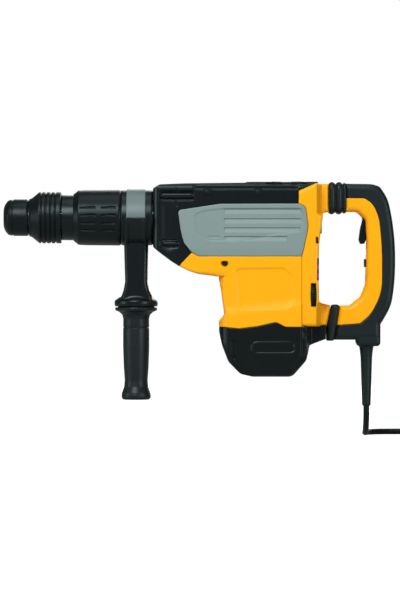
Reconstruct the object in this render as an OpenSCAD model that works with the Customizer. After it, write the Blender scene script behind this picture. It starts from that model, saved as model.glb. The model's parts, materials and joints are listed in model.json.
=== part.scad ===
// Corded combination hammer with a sprung D handle, a side handle and a 4 m cord.
// The sub-parts are drawn in tool coordinates: X runs back from the nose, Y across, Z up,
// with the spindle axis along Y = 0, Z = 0. from_nose() then moves them so that the origin
// is the middle of the rear grip.

/* [Tool holder] */
// Radius of the bore that takes the tool shank
shank_r = 9.05; // [6:0.05:12]
// Length of the rubber nose cap
nose_l = 38; // [30:1:50]
// Largest radius of the nose cap
nose_r = 27.5; // [25:0.5:32]
// Length of the locking sleeve
sleeve_l = 48.5; // [44:0.5:60]
// Outer radius of the locking sleeve
sleeve_r = 38.5; // [36:0.5:44]
// Length of the neck behind the sleeve
neck_l = 18; // [16:1:30]

/* [Barrel] */
// Length of the slotted barrel cover
barrel_l = 71.5; // [60:0.5:95]
// Outer radius of the barrel
barrel_r = 41.5; // [40:0.5:46]
// Length of the smooth collar that carries the side handle
collar_l = 47.5; // [44:0.5:60]
// Number of slots in one column
slot_rows = 4; // [3:1:5]

/* [Hammer mechanism] */
// Bore radius of the hammer cylinder
cylinder_r = 17.5; // [15:0.5:21]
// Wall of the hammer cylinder
cylinder_wall = 4.5; // [3.5:0.5:6]
// Crank throw, half of the piston's stroke
crank_throw = 15; // [12:1:17]
// Length of the connecting rod between its centres
rod_l = 75; // [72:1:80]
// Gear module of the spur gears
gear_mod = 1.25; // [1:0.05:1.3]

/* [Gear case] */
// Length of the case from the barrel collar to the rear wall
case_l = 251.5; // [240:0.5:300]
// Width of the gear case
case_w = 88; // [84:1:106]
// Height of the case top above the spindle axis
case_top = 51; // [49:0.5:60]
// Thickness of the grey side panels
panel_t = 7; // [5:0.5:9]

/* [Motor column] */
// Distance from the spindle axis down to the end cap's underside
column_h = 238; // [225:0.2:286]
// Width of the motor housing
motor_w = 106; // [100:1:126]
// Wall of the motor housing
motor_wall = 4; // [3:0.5:5]
// Height of the black end cap
cap_h = 76; // [70:1:90]

/* [Rear handle] */
// Distance from the case's rear wall to the middle of the grip
grip_reach = 88; // [84:1:110]
// Width of the rear handle
handle_w = 41; // [36:0.2:50]
// Length of the bellows between case and handle
bellows_l = 23; // [20:1:28]

/* [Side handle] */
// Width of the clamp band
band_w = 28; // [24:1:34]
// Length of the round grip below its guard
side_grip_l = 136; // [120:1:160]
// Radius of the grip's guard
guard_r = 32.5; // [28:0.5:36]

/* [Cord] */
// Cord diameter
cord_d = 9; // [8:0.5:10]

/* [Hidden] */
$fn = 64;
// Radial play of a shaft or slide in its bore
play = 0.05;
// Free gap between pieces of different bodies
gap = 0.4;
// A cut runs this far past the face that it opens
over = 1;

// Stations along the spindle axis, counted back from the nose
sleeve_x = nose_l;
neck_x = sleeve_x + sleeve_l;
barrel_x = neck_x + neck_l;
collar_x = barrel_x + barrel_l;
case_x = collar_x + collar_l;
rear_x = case_x + case_l;
grip_x = rear_x + grip_reach;
grip_z = -56;

// Gear train
pinion_teeth = 9;
crank_teeth = 54;
small_teeth = 15;
rotary_teeth = 55;
face_pinion_teeth = 12;
face_teeth = 31;
face_mod = 2;
tooth_play = 0.22;
motor_x = case_x + 168.5;
crank_x = motor_x - (pinion_teeth + crank_teeth) * gear_mod / 2;
rotary_x = crank_x - (small_teeth + rotary_teeth) * gear_mod / 2;
crank_gear_z = -58;
small_gear_z = -70;
gear_t = 10;
crank_top_z = -6.5;
bridge_z = -46;
bridge_t = 9;

// Tool holder
holder_r = shank_r + 7.95;
ring_r = 24.6;

// Hammer mechanism
cylinder_outer = cylinder_r + cylinder_wall;
face_r = face_mod * face_teeth / 2;
face_x = rotary_x - face_mod * face_pinion_teeth / 2;
cylinder_end = face_x;
wrist_x = crank_x + crank_throw - rod_l;
piston_back = wrist_x + 8;
piston_front = wrist_x - 30;
ram_back = piston_front - 2 * crank_throw - 12;
ram_l = 42;
ram_front = ram_back - ram_l;
ram_nose = 10;
beat_back = ram_front - ram_nose - 8;
beat_l = 64;
chamber_x = ram_front - 4;
anvil_r = 13;
shank_end = beat_back - beat_l - 8;

// Case and column
wall = 4;
half_w = case_w / 2;
cap_z = -column_h;
seam_z = cap_z + cap_h - 1;
case_low = -83;
side_screw = [motor_x - 61.4, -69];
dial_r = 18.5;
dial_y = 16.5 - motor_w / 2 + 2;
dial_z = -116;
cap_boss_x = 44.5;
cap_boss_y = 34;

// Side handle
band_x = collar_x + 22.3;
band_r = barrel_r + 1.2;
guard_z = -120;
grip_end_z = guard_z - 17 - side_grip_l;

// Rear handle
pivot_x = rear_x + 5;
pivot_z = -147;
pivot_r = 5;
tongue_w = 10;
tongue_h = 7;
handle_half = handle_w / 2;
bellows_x = rear_x + 12;
handle_x = bellows_x + bellows_l;
handle_screw_at = [[handle_x + 12, 18], [grip_x - 36, -146]];
cord_exit_x = grip_x - 19.5;
cord_exit_z = -282;

// Cord route in the part's own coordinates: down out of the strain relief, back under the
// handle onto the floor, then to the coil
CORD = [
    [-19.5, 0, -226], [-19.5, 0, -230], [-19.5, 1, -239], [-19.5, 5, -248.5], [-19.5, 11, -256.5],
    [-19.5, 19, -262.5], [-19.5, 28, -266.2], [-19.5, 38, -267.5], [-18, 48, -267.5],
    [-14.5, 57, -267.5], [-8.5, 65, -267.5], [-0.5, 71, -267.5], [8.5, 74.7, -267.5],
    [18.5, 76, -267.5], [36, 76, -267.5], [54, 76, -267.5], [72, 76, -267.5], [90, 76, -267.5]
];
floor_z = -272;
coil_centre = [120, 7.5];
coil_out_r = 73;
coil_in_r = 32.5;
coil_h = 28;
// The cord leaves the coil's innermost turn on the +X side and runs towards -Y into the plug
plug_turn_r = 37.2;
plug_cone_l = 24;
plug_z = floor_z + coil_h + 14;

// ---------------------------------------------------------------- helpers

// Moves a piece from tool coordinates to the part's own
module from_nose() {
    translate([-grip_x, 0, -grip_z]) children();
}

// Turns an outline of [radius, x] points about the spindle axis
module turned(outline) {
    rotate([0, 90, 0]) rotate_extrude() polygon(outline);
}

// Turns an outline of [radius, z] points about an upright axis through x, y
module spun(x, y, outline) {
    translate([x, y, 0]) rotate_extrude() polygon(outline);
}

// Extrudes an outline drawn in X and Z across the tool from y0 to y1
module slab(y0, y1) {
    translate([0, y1, 0]) rotate([90, 0, 0]) linear_extrude(y1 - y0) children();
}

// Extrudes an outline drawn in Y and Z along the tool from x0 to x1
module along(x0, x1) {
    translate([x0, 0, 0]) rotate([90, 0, 90]) linear_extrude(x1 - x0) children();
}

// A ring about the spindle axis
module ring_x(x0, x1, r_out, r_in) {
    turned([[r_in, x0], [r_out, x0], [r_out, x1], [r_in, x1]]);
}

// A ring about an upright axis
module ring_z(x, y, z0, z1, r_out, r_in) {
    spun(x, y, [[r_in, z0], [r_out, z0], [r_out, z1], [r_in, z1]]);
}

// An upright cylinder from z0 to z1
module post(x, y, z0, z1, r) {
    translate([x, y, z0]) cylinder(r = r, h = z1 - z0);
}

// A cylinder across the tool
module cross_pin(x, z, y0, y1, r) {
    translate([x, y0, z]) rotate([-90, 0, 0]) cylinder(r = r, h = y1 - y0);
}

// A cylinder along the tool
module bar(x0, x1, y, z, r) {
    translate([x0, y, z]) rotate([0, 90, 0]) cylinder(r = r, h = x1 - x0);
}

function unit(v) = v / norm(v);

// One rounded corner: b is the corner with its radius as third value
function corner(a, b, c, n) =
    let (
        p = [b[0], b[1]],
        u = unit([a[0], a[1]] - p),
        v = unit([c[0], c[1]] - p),
        half = acos(max(-1, min(1, u * v))) / 2,
        t = b[2] / tan(half),
        m = p + unit(u + v) * b[2] / sin(half),
        s = p + u * t - m,
        e = p + v * t - m,
        a0 = atan2(s[1], s[0]),
        sweep = (atan2(e[1], e[0]) - a0 + 540) % 360 - 180
    )
    b[2] <= 0 ? [p] : [for (i = [0:n]) m + b[2] * [cos(a0 + sweep * i / n), sin(a0 + sweep * i / n)]];

// An outline of [x, z, corner radius] points with its corners rounded
function rounded(points, n = 5) =
    let (k = len(points))
    [for (i = [0:k - 1]) each corner(points[(i + k - 1) % k], points[i], points[(i + 1) % k], n)];

// A rectangle with rounded corners, from its low corner to its high one
function pill(x0, z0, x1, z1, r, n = 5) =
    rounded([[x0, z0, r], [x1, z0, r], [x1, z1, r], [x0, z1, r]], n);

function inv(a) = tan(a) * 180 / PI - a;

// Outline of a spur gear with stub involute teeth, its first tooth on +X
function gear_outline(teeth, m) =
    let (
        press = 25,
        pitch = teeth * m / 2,
        base = pitch * cos(press),
        root = pitch - 1.0 * m,
        tip = pitch + 0.7 * m,
        half = 90 / teeth - tooth_play / pitch * 90 / PI,
        low = max(base, root),
        flank = [for (i = [0:3]) let (r = low + (tip - low) * i / 3)
            [r, half + inv(press) - inv(acos(min(1, base / r)))]]
    )
    [for (t = [0:teeth - 1]) let (a = 360 * t / teeth) each concat(
        [root * [cos(a - flank[0][1]), sin(a - flank[0][1])]],
        [for (f = flank) f[0] * [cos(a - f[1]), sin(a - f[1])]],
        [for (i = [3:-1:0]) flank[i][0] * [cos(a + flank[i][1]), sin(a + flank[i][1])]],
        [root * [cos(a + flank[0][1]), sin(a + flank[0][1])]]
    )];

// A spur gear on an upright axis, turned by phase
module spur(x, z, t, teeth, m, phase) {
    translate([x, 0, z]) rotate([0, 0, phase]) linear_extrude(t) polygon(gear_outline(teeth, m));
}

// A ball bearing on an upright axis: two races and a ring of balls
module bearing_z(x, z, t, r_in, r_out) {
    mid = (r_in + r_out) / 2;
    ball = (r_out - r_in) * 0.27;
    groove = ball + 0.05;
    difference() {
        union() {
            ring_z(x, 0, z, z + t, r_in + (r_out - r_in) * 0.3, r_in);
            ring_z(x, 0, z, z + t, r_out, r_out - (r_out - r_in) * 0.3);
        }
        translate([x, 0, z + t / 2]) rotate_extrude() translate([mid, 0]) circle(r = groove, $fn = 24);
    }
    for (a = [0:36:324]) {
        translate([x + mid * cos(a), mid * sin(a), z + t / 2]) sphere(r = ball, $fn = 24);
    }
}

// Rings of a tube of radius r swept along the route p
function tube_points(p, r, n) =
    let (k = len(p) - 1)
    [for (i = [0:k])
        let (
            t = unit(i == 0 ? p[1] - p[0] : i == k ? p[k] - p[k - 1] : p[i + 1] - p[i - 1]),
            side = unit(cross(t, abs(t[2]) > 0.9 ? [1, 0, 0] : [0, 0, 1])),
            up = cross(side, t)
        )
        for (j = [0:n - 1]) p[i] + r * (cos(360 * j / n) * side + sin(360 * j / n) * up)
    ];

// A solid tube along the route p, with n sides
module tube(p, r, n = 8) {
    k = len(p);
    polyhedron(
        tube_points(p, r, n),
        concat(
            [[for (j = [n - 1:-1:0]) j]],
            [for (i = [0:k - 2], j = [0:n - 1]) let (a = i * n + j, b = i * n + (j + 1) % n)
                each [[a, b, b + n], [a, b + n, a + n]]],
            [[for (j = [0:n - 1]) (k - 1) * n + j]]
        )
    );
}

// A helical spring along the tool from x0 to x1, wound at radius r
module spring_x(x0, x1, r, wire, turns) {
    steps = 12;
    span = x1 - x0 - 2 * wire;
    tube([for (i = [0:steps * turns]) let (a = 360 * i / steps)
        [x0 + wire + span * i / (steps * turns), r * cos(a), r * sin(a)]], wire, 6);
}

// A countersunk-head or cap screw pointing along +Y or -Y, its head at y
module screw_y(x, z, y, side, head_r, head_h, shank_r, l) {
    translate([x, y, z]) rotate([side > 0 ? 90 : -90, 0, 0]) {
        difference() {
            cylinder(r = head_r, h = head_h);
            translate([0, 0, -over]) cylinder(r = head_r * 0.55, h = head_h * 0.6 + over, $fn = 6);
        }
        translate([0, 0, head_h]) cylinder(r = shank_r, h = l);
    }
}

// ---------------------------------------------------------------- tool holder and spindle

module spindle() {
    color("silver") from_nose() difference() {
        turned([
            [shank_r, 6], [holder_r - 1, 6], [holder_r, 7.5], [holder_r, neck_x + 6],
            [cylinder_outer, neck_x + 10],
            [cylinder_outer, cylinder_end], [cylinder_r, cylinder_end], [cylinder_r, chamber_x],
            [anvil_r, chamber_x - 3], [anvil_r, shank_end], [shank_r, shank_end]
        ]);
        for (s = [-1, 1]) {
            translate([46, s > 0 ? shank_r + 0.25 : -holder_r - over, -4.2])
                cube([16, holder_r + over - shank_r - 0.25, 8.4]);
        }
    }
}

module locking_rollers() {
    color("lightgrey") from_nose() for (s = [-1, 1]) {
        bar(46.5, 61.5, s * (shank_r + 4.1), 0, 3.8);
    }
}

module nose_cap() {
    color("#202426") from_nose() turned([
        [shank_r + 3, 0], [shank_r + 5, 0], [nose_r - 8, 1.2], [nose_r - 5, 3.2], [nose_r - 2.5, 5.4],
        [nose_r - 1, 8], [nose_r - 0.5, 11], [nose_r, 13],
        [nose_r - 0.7, 13.6], [nose_r - 0.7, 14.8], [nose_r, 15.4], [nose_r, nose_l - 2.5],
        [nose_r - 0.6, nose_l - 0.6], [holder_r + play, nose_l - 0.6], [holder_r + play, 5.8],
        [shank_r + 3, 5.8]
    ]);
}

module sleeve_spring() {
    color("grey") from_nose() spring_x(sleeve_x + 26.5, neck_x - 1, holder_r + 2.6, 1.2, 5);
}

module spindle_gear() {
    color("grey") from_nose() union() {
        ring_x(face_x - 11, face_x - 5, face_r + 5, cylinder_outer + 0.02);
        ring_x(face_x - 15, face_x - 11, cylinder_outer + 5, cylinder_outer + 0.02);
        for (i = [0:face_teeth - 1]) {
            rotate([360 * (i + 0.5) / face_teeth, 0, 0]) translate([face_x - 5.2, 0, -face_r - 2.5])
                linear_extrude(5) polygon([
                    [0, -1.75], [face_mod * 0.8 + 5.2, -0.75], [face_mod * 0.8 + 5.2, 0.75], [0, 1.75]
                ]);
        }
    }
}

module locking_sleeve() {
    ridge = 5.6;
    ridge_x = sleeve_x + 18;
    color("#16191a") from_nose() turned(concat(
        [[ring_r, sleeve_x], [nose_r + 0.3, sleeve_x], [sleeve_r - 1.2, sleeve_x + 14]],
        [[sleeve_r, sleeve_x + 15.5]],
        [for (i = [0:3]) each [
            [sleeve_r, ridge_x + i * (ridge + 1.6)], [sleeve_r - 1.5, ridge_x + i * (ridge + 1.6) + 0.5],
            [sleeve_r - 1.5, ridge_x + i * (ridge + 1.6) + 1.4], [sleeve_r, ridge_x + i * (ridge + 1.6) + 1.9]
        ]],
        [
            [sleeve_r, neck_x - 1], [sleeve_r - 1, neck_x], [neck_r() + 0.6, neck_x],
            [neck_r() + 0.6, sleeve_x + 24], [ring_r, sleeve_x + 20]
        ]
    ));
}

// Radius of the neck, which the sleeve slides over
function neck_r() = sleeve_r - 4.5;

module locking_ring() {
    color("silver") from_nose() ring_x(sleeve_x + 6, sleeve_x + 26, ring_r, holder_r + 2 * play);
}

// ---------------------------------------------------------------- hammer mechanism

module beat_piece() {
    color("silver") from_nose() turned([
        [0, beat_back - beat_l], [shank_r - 0.6, beat_back - beat_l], [shank_r, beat_back - beat_l + 1],
        [shank_r, beat_back - beat_l + 20], [anvil_r - play, beat_back - beat_l + 24],
        [anvil_r - play, beat_back - 22], [10, beat_back - 18], [10, beat_back - 1],
        [9, beat_back], [0, beat_back]
    ]);
}

module ram() {
    color("silver") from_nose() turned([
        [0, ram_front - ram_nose], [9, ram_front - ram_nose], [10, ram_front - ram_nose + 1],
        [10, ram_front], [cylinder_r - 1, ram_front], [cylinder_r - play, ram_front + 1.5],
        [cylinder_r - play, ram_front + 16], [cylinder_r - 1.4, ram_front + 16],
        [cylinder_r - 1.4, ram_front + 19], [cylinder_r - play, ram_front + 19],
        [cylinder_r - play, ram_back - 1], [cylinder_r - 1, ram_back], [0, ram_back]
    ]);
}

module piston() {
    color("lightgrey") from_nose() difference() {
        turned([
            [0, piston_front], [cylinder_r - 1, piston_front], [cylinder_r - play, piston_front + 1],
            [cylinder_r - play, piston_front + 5], [cylinder_r - 1.6, piston_front + 5],
            [cylinder_r - 1.6, piston_front + 8], [cylinder_r - play, piston_front + 8],
            [cylinder_r - play, piston_back], [0, piston_back]
        ]);
        translate([wrist_x - 13, -cylinder_r, -7]) cube([40, 2 * cylinder_r, 14]);
        post(wrist_x, 0, -cylinder_r - over, cylinder_r + over, 4.5);
    }
}

module wrist_pin() {
    color("silver") from_nose() post(wrist_x, 0, -15.8, 15.8, 4.5);
}

module connecting_rod() {
    big_x = wrist_x + rod_l;
    color("lightgrey") from_nose() difference() {
        union() {
            post(wrist_x, 0, -6, 6, 9);
            post(big_x, 0, -6, 6, 13);
            translate([wrist_x, -5, -4]) cube([rod_l, 10, 8]);
        }
        post(wrist_x, 0, -6 - over, 6 + over, 4.5 + play);
        post(big_x, 0, -6 - over, 6 + over, 7);
    }
}

// ---------------------------------------------------------------- drive

module crank_gear() {
    color("dimgrey") from_nose() difference() {
        spur(crank_x, crank_gear_z, gear_t, crank_teeth, gear_mod, 180 / crank_teeth);
        post(crank_x, 0, crank_gear_z - over, crank_gear_z + gear_t + over, 11);
        for (a = [30:60:330]) {
            post(crank_x + 22 * cos(a), 22 * sin(a), crank_gear_z - over, crank_gear_z + gear_t + over, 4.5);
        }
    }
}

module crank_shaft() {
    top = crank_gear_z + gear_t;
    color("silver") from_nose() union() {
        post(crank_x, 0, small_gear_z - 7.5, small_gear_z, 6);
        spur(crank_x, small_gear_z, -small_gear_z + crank_gear_z, small_teeth, gear_mod, 0);
        post(crank_x, 0, crank_gear_z, top + 14, 11);
        post(crank_x, 0, top + 14, crank_top_z - 10.5, crank_throw + 7.5);
        post(crank_x + crank_throw, 0, crank_top_z - 10.5, crank_top_z, 6.8);
    }
}

module rotary_shaft() {
    face_z = -face_r - 2.6;
    color("silver") from_nose() union() {
        post(rotary_x, 0, small_gear_z - 7.5, small_gear_z + gear_t + 1.5, 6);
        post(rotary_x, 0, small_gear_z + gear_t + 1.5, face_z - 1, 8);
        spur(rotary_x, face_z - 1, 6.2, face_pinion_teeth, face_mod, 0);
    }
}

module rotary_gear() {
    color("dimgrey") from_nose() union() {
        difference() {
            spur(rotary_x, small_gear_z, gear_t, rotary_teeth, gear_mod, 0);
            post(rotary_x, 0, small_gear_z - over, small_gear_z + gear_t + over, 6);
        }
        ring_z(rotary_x, 0, small_gear_z + gear_t, small_gear_z + gear_t + 1.5, 15, 6);
    }
}

armature_top_z = crank_gear_z + gear_t + 2;
core_top_z = -118;
core_l = 58;

module armature_shaft() {
    color("silver") from_nose() union() {
        spur(motor_x, crank_gear_z - 2, gear_t + 4, pinion_teeth, gear_mod, 180 / pinion_teeth);
        post(motor_x, 0, crank_gear_z - 8, crank_gear_z - 2, 5);
        post(motor_x, 0, core_top_z, crank_gear_z - 8, 6);
        post(motor_x, 0, cap_z + 8, core_top_z, 6);
    }
}

module armature_core() {
    color("#8a5a34") from_nose() difference() {
        union() {
            ring_z(motor_x, 0, core_top_z - core_l, core_top_z, 27, 6);
            ring_z(motor_x, 0, core_top_z, core_top_z + 6, 22, 6);
            ring_z(motor_x, 0, core_top_z - core_l - 8, core_top_z - core_l, 22, 6);
        }
        for (a = [0:30:330]) {
            translate([motor_x, 0, core_top_z - core_l - over]) rotate([0, 0, a])
                translate([24.5, -1.2, 0]) cube([4, 2.4, core_l + 2 * over]);
        }
    }
}

module commutator() {
    z0 = core_top_z - core_l - 28;
    color("#b87333") from_nose() difference() {
        ring_z(motor_x, 0, z0, z0 + 18, 16, 6);
        for (a = [0:15:345]) {
            translate([motor_x, 0, z0 - over]) rotate([0, 0, a]) translate([14.6, -0.4, 0])
                cube([3, 0.8, 18 + 2 * over]);
        }
    }
}

module cooling_fan() {
    z0 = core_top_z + 10;
    color("#3a3d40") from_nose() union() {
        ring_z(motor_x, 0, z0, z0 + 10, 10, 6);
        ring_z(motor_x, 0, z0, z0 + 2, 38, 9);
        for (a = [0:20:340]) {
            translate([motor_x, 0, z0 + 1.5]) rotate([0, 0, a]) translate([16, 0, 0])
                rotate([0, 0, 25]) cube([22, 1.4, 10]);
        }
    }
}

// ---------------------------------------------------------------- casings

module barrel_housing() {
    bolt_r = barrel_r - 5.5;
    color("#2a2e30") from_nose() difference() {
        union() {
            turned([
                [30, neck_x + 0.6], [neck_r() - 1, neck_x + 0.6], [neck_r(), neck_x + 1.6],
                [neck_r(), barrel_x + 6], [38, barrel_x + 10], [38, collar_x],
                [barrel_r, collar_x], [barrel_r, case_x], [37, case_x],
                [37, collar_x + 8], [34.5, collar_x], [34.5, barrel_x + 22], [30, barrel_x + 22]
            ]);
            for (a = [45:90:315]) {
                rotate([a, 0, 0]) translate([case_x - 16, 0, 0]) {
                    bar(0, 16, 0, bolt_r, 4.8);
                }
            }
        }
        for (a = [45:90:315]) {
            rotate([a, 0, 0]) {
                bar(case_x - 17, case_x + over, 0, bolt_r, 2.05);
                bar(case_x - 30, case_x - 16, 0, bolt_r, 3.8);
            }
        }
    }
}

module barrel_cover() {
    first = barrel_x + 10.5;
    second = first + 32;
    row = 11.2;
    color("#1b2022") from_nose() difference() {
        turned([
            [neck_r(), barrel_x], [neck_r() + 1, barrel_x], [barrel_r - 0.5, barrel_x + 7.5],
            [barrel_r - 0.2, barrel_x + 20], [barrel_r + 0.3, collar_x - 3], [barrel_r - 0.3, collar_x],
            [38, collar_x], [38, barrel_x + 10], [neck_r(), barrel_x + 6]
        ]);
        for (s = [-1, 1], c = [0, 1], i = [0:slot_rows - 1]) {
            rotate([s * (3 - 20 + i * 16) + (s > 0 ? 0 : 180), 0, 0])
                translate([c == 0 ? first : second, barrel_r - 2.2, -1.5]) cube([21, 8, 3]);
        }
    }
}

// Outline of the gear case: its lower front curve steps in under the motor housing
function case_outline(grow) = rounded([
    [case_x, case_top - 8 + grow, 3], [case_x + 9, case_top - 1.5 + grow, 6],
    [case_x + 60, case_top + grow, 20], [rear_x - 6, case_top + 2.5 + grow, 0.8],
    [rear_x - 7, case_top + 0.4, 0.5], [rear_x - 34 + grow, 39.5, 2],
    [rear_x - 34 + grow, case_low - grow, 2], [motor_x - 66, case_low - grow, 8],
    [case_x + 72, case_low + 2.5 - grow, 16], [case_x + 40, -69 - grow, 3], [case_x + 38.5, -72.5, 0.5],
    [case_x + 26, -65, 16], [case_x + 9, -51.5, 6], [case_x, -45, 2]
]);

// The cavity that holds the gears, the crank and the piston
function case_cavity() = rounded([
    [case_x + 10, 42, 3], [rear_x - 38, 42, 4], [rear_x - 38, crank_gear_z - 2.5, 3],
    [motor_x - 28, crank_gear_z - 2.5, 3], [motor_x - 28, -78, 3], [case_x + 44, -78, 8],
    [case_x + 10, -44, 10]
]);

module gear_case() {
    inner = half_w - wall;
    bearing_x = face_x - 38;
    color("#1b2022") from_nose() difference() {
        union() {
            difference() {
                intersection() {
                    slab(-half_w, half_w) polygon(case_outline(0));
                    along(case_x - over, rear_x) polygon(pill(-half_w, -100, half_w, case_top + 2.5, 14, 6));
                }
                slab(-inner, inner) polygon(case_cavity());
            }
            translate([bearing_x, -inner - 0.5, -44]) cube([20, 2 * inner + 1, 86.5]);
            translate([rotary_x - 14, -inner - 0.5, bridge_z])
                cube([crank_x - rotary_x + 14 + 26, 2 * inner + 1, bridge_t]);
            for (x = [rotary_x, crank_x]) {
                post(x, 0, -79, small_gear_z - 1, 12);
            }
        }
        bar(bearing_x - over, bearing_x + 20 + over, 0, 0, 27);
        bar(case_x - over, case_x + 10 + over, 0, 0, 31);
        for (x = [rotary_x, crank_x]) {
            post(x, 0, -79 + over, small_gear_z, 9);
        }
        post(crank_x, 0, bridge_z - over, bridge_z + bridge_t + over, 20);
        post(rotary_x, 0, bridge_z - over, bridge_z + bridge_t + over, 12);
        post(motor_x, 0, case_low - over, -50, 9);
        post(motor_x, 0, case_low - over, crank_gear_z - 10, 13);
        post(motor_x + 30, 0, case_top - 1.2, case_top + 10, 32.4);
        for (a = [45:90:315]) {
            rotate([a, 0, 0]) bar(case_x - over, case_x + 9.2, 0, barrel_r - 5.5, 2.05);
        }
        for (s = [-1, 1]) {
            panel_cut(s);
            cross_pin(side_screw[0], side_screw[1], s > 0 ? 30 : -50, s > 0 ? 50 : -30, 1.8);
        }
        top_cut();
    }
}

// The shallow step in the case that a side panel sits in
module panel_cut(s) {
    y0 = s > 0 ? half_w - 1.5 : -half_w - over;
    slab(y0, y0 + 1.5 + over) polygon(panel_outline(0.3));
}

// The step for the top cover
module top_cut() {
    translate([case_x + 30, -17.3, case_top - 6]) cube([case_l - 68, 34.6, 20]);
}

module top_cover() {
    color("#16191a") from_nose() difference() {
        union() {
            along(case_x + 30.3, rear_x - 38.3) polygon(pill(-17, case_top - 5.8, 17, case_top + 1.8, 2.5));
            translate([case_x + 140, -14, case_top + 0.8]) cube([21, 28, 1.8]);
        }
        post(motor_x + 30, 0, case_top - 1, case_top + 10, 33);
    }
}

// Outline of a grey side panel
function panel_outline(grow) = rounded([
    [case_x + 37.5 - grow, 10 + grow, 4], [case_x + 101, 19.6 + grow, 30],
    [rear_x - 33.5, 19.8 + grow, 5], [rear_x - 24 + grow, 14.3 + grow, 6],
    [rear_x - 20.5 + grow, -12, 18], [rear_x - 29.5 + grow, -58.4 - grow, 3],
    [case_x + 66, -58.4 - grow, 8], [case_x + 46, -38.6 - grow, 10], [case_x + 42 - grow, -20.9, 20]
]);

module side_panel(s) {
    y0 = half_w - 1.4;
    y1 = half_w + panel_t;
    slot = 2.2;
    difference() {
        slab(s > 0 ? y0 : -y1, s > 0 ? y1 : -y0) polygon(panel_outline(0));
        for (z = [12, 3, -6, -14, -22, -30]) {
            translate([case_x + 107, s > 0 ? y1 - 2 : -y1 - over, z - slot / 2])
                cube([case_l - 140, 2 + over, slot]);
        }
    }
}

module side_panel_left() {
    color("#84928f") from_nose() side_panel(-1);
}

module side_panel_right() {
    color("#84928f") from_nose() side_panel(1);
}

// Outline of the yellow motor housing seen from the side
function motor_outline() = rounded([
    [case_x + 57, -54, 2], [rear_x - 33, -60, 2], [rear_x - 33, seam_z, 2],
    [motor_x - 70, seam_z, 2], [motor_x - 64, seam_z + 16, 8], [motor_x - 68.5, -93, 8],
    [motor_x - 76, -87.3, 6], [case_x + 64, -84.5, 30], [case_x + 38.5, -72.8, 3]
]);

// The four upright bosses that the end cap's screws run in
module cap_bosses(z0, z1, r) {
    for (x = [-cap_boss_x, cap_boss_x], y = [-cap_boss_y, cap_boss_y]) {
        post(motor_x + x, y, z0, z1, r);
    }
}

module motor_housing() {
    w = motor_w / 2;
    inner = w - motor_wall;
    color("#ffb400") from_nose() difference() {
        union() {
            difference() {
                slab(-w, w) polygon(motor_outline());
                slab(-inner, inner) polygon(rounded([
                    [case_x + 50, -50, 3], [rear_x - 20, -50, 3], [rear_x - 20, seam_z - 20, 3],
                    [motor_x - 61, seam_z - 20, 3], [motor_x - 61, -89, 8], [case_x + 50, -89, 3]
                ]));
            }
            cap_bosses(seam_z, seam_z + 16, 5);
        }
        slab(-half_w - 0.3, half_w + 0.3) polygon(case_outline(0.3));
        cap_bosses(seam_z - over, seam_z + 12, 2);
        for (s = [-1, 1]) {
            slab(s > 0 ? half_w - 2 : -w - over, s > 0 ? w + over : -half_w + 2)
                polygon(panel_outline(0.4));
            cross_pin(side_screw[0], side_screw[1], s > 0 ? w - 3 : -w - over, s > 0 ? w + over : -w + 3, 4);
            cross_pin(side_screw[0], side_screw[1], s > 0 ? 30 : -w - over, s > 0 ? w + over : -30, 1.8);
        }
    }
}

// X of the lower stub's back face, which slants with the arm boot behind it
function stub_back_x(z) = rear_x + 15 + 6.5 * (z + 131.5) / 31.5;

// Outline of the rear cover with its stubs for the two handle arms
function rear_outline(t) = rounded([
    [rear_x - 32.8 + t, 38.4 - t, 1], [rear_x - 7, case_top - 0.6 - t, 4],
    [rear_x + 12 - t, case_top - 1 - t, 3], [rear_x + 12 - t, 9 + t, 3], [rear_x + 2 - t, 7, 3],
    [rear_x + 0.5 - t, -8, 4], [rear_x - 4 - t, -42, 10], [rear_x - 4.5 - t, -92, 10],
    [rear_x - 4 - t, -127, 4], [stub_back_x(-131.5) - t, -131.5 - t, 3], [stub_back_x(seam_z) - t, seam_z + t, 2],
    [rear_x - 32.8 + t, seam_z + t, 2]
]);

// Trims the stubs for the handle arms to the handle's width
module arm_trim(low, high) {
    for (s = [-1, 1]) {
        translate([rear_x - 2, s > 0 ? handle_half + 1 : -70, low]) cube([30, 69 - handle_half, high - low]);
    }
}

module rear_cover() {
    w = half_w + 5;
    color("#ffb400") from_nose() difference() {
        union() {
            difference() {
                slab(-w, w) polygon(rear_outline(0));
                intersection() {
                    slab(-w + motor_wall, w - motor_wall) polygon(rear_outline(motor_wall));
                    translate([rear_x - 60, -w, seam_z]) cube([54, 2 * w, 300]);
                }
                slab(-handle_half + 3, handle_half - 3) polygon(rear_outline(motor_wall));
                arm_trim(seam_z - over, case_top + over);
                translate([rear_x - 45, -w + motor_wall, seam_z + 4])
                    cube([20, 2 * w - 2 * motor_wall, -seam_z + 30]);
            }
        }
        for (s = [-1, 1]) {
            slab(s > 0 ? half_w - 2 : -w - over, s > 0 ? w + over : -half_w + 2)
                polygon(panel_outline(0.4));
        }
        cross_pin(pivot_x, pivot_z, -60, 60, pivot_r + play);
        translate([rear_x - 1, -tongue_w - 1, pivot_z - tongue_h - 1.5]) cube([30, 2 * tongue_w + 2, 2 * tongue_h + 3]);
        translate([rear_x - 16.2, -60, dial_z - 17.5]) cube([8, 40, 35]);
        translate([rear_x - 5.5, -13, -94]) cube([10, 26, 56]);
    }
}

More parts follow.
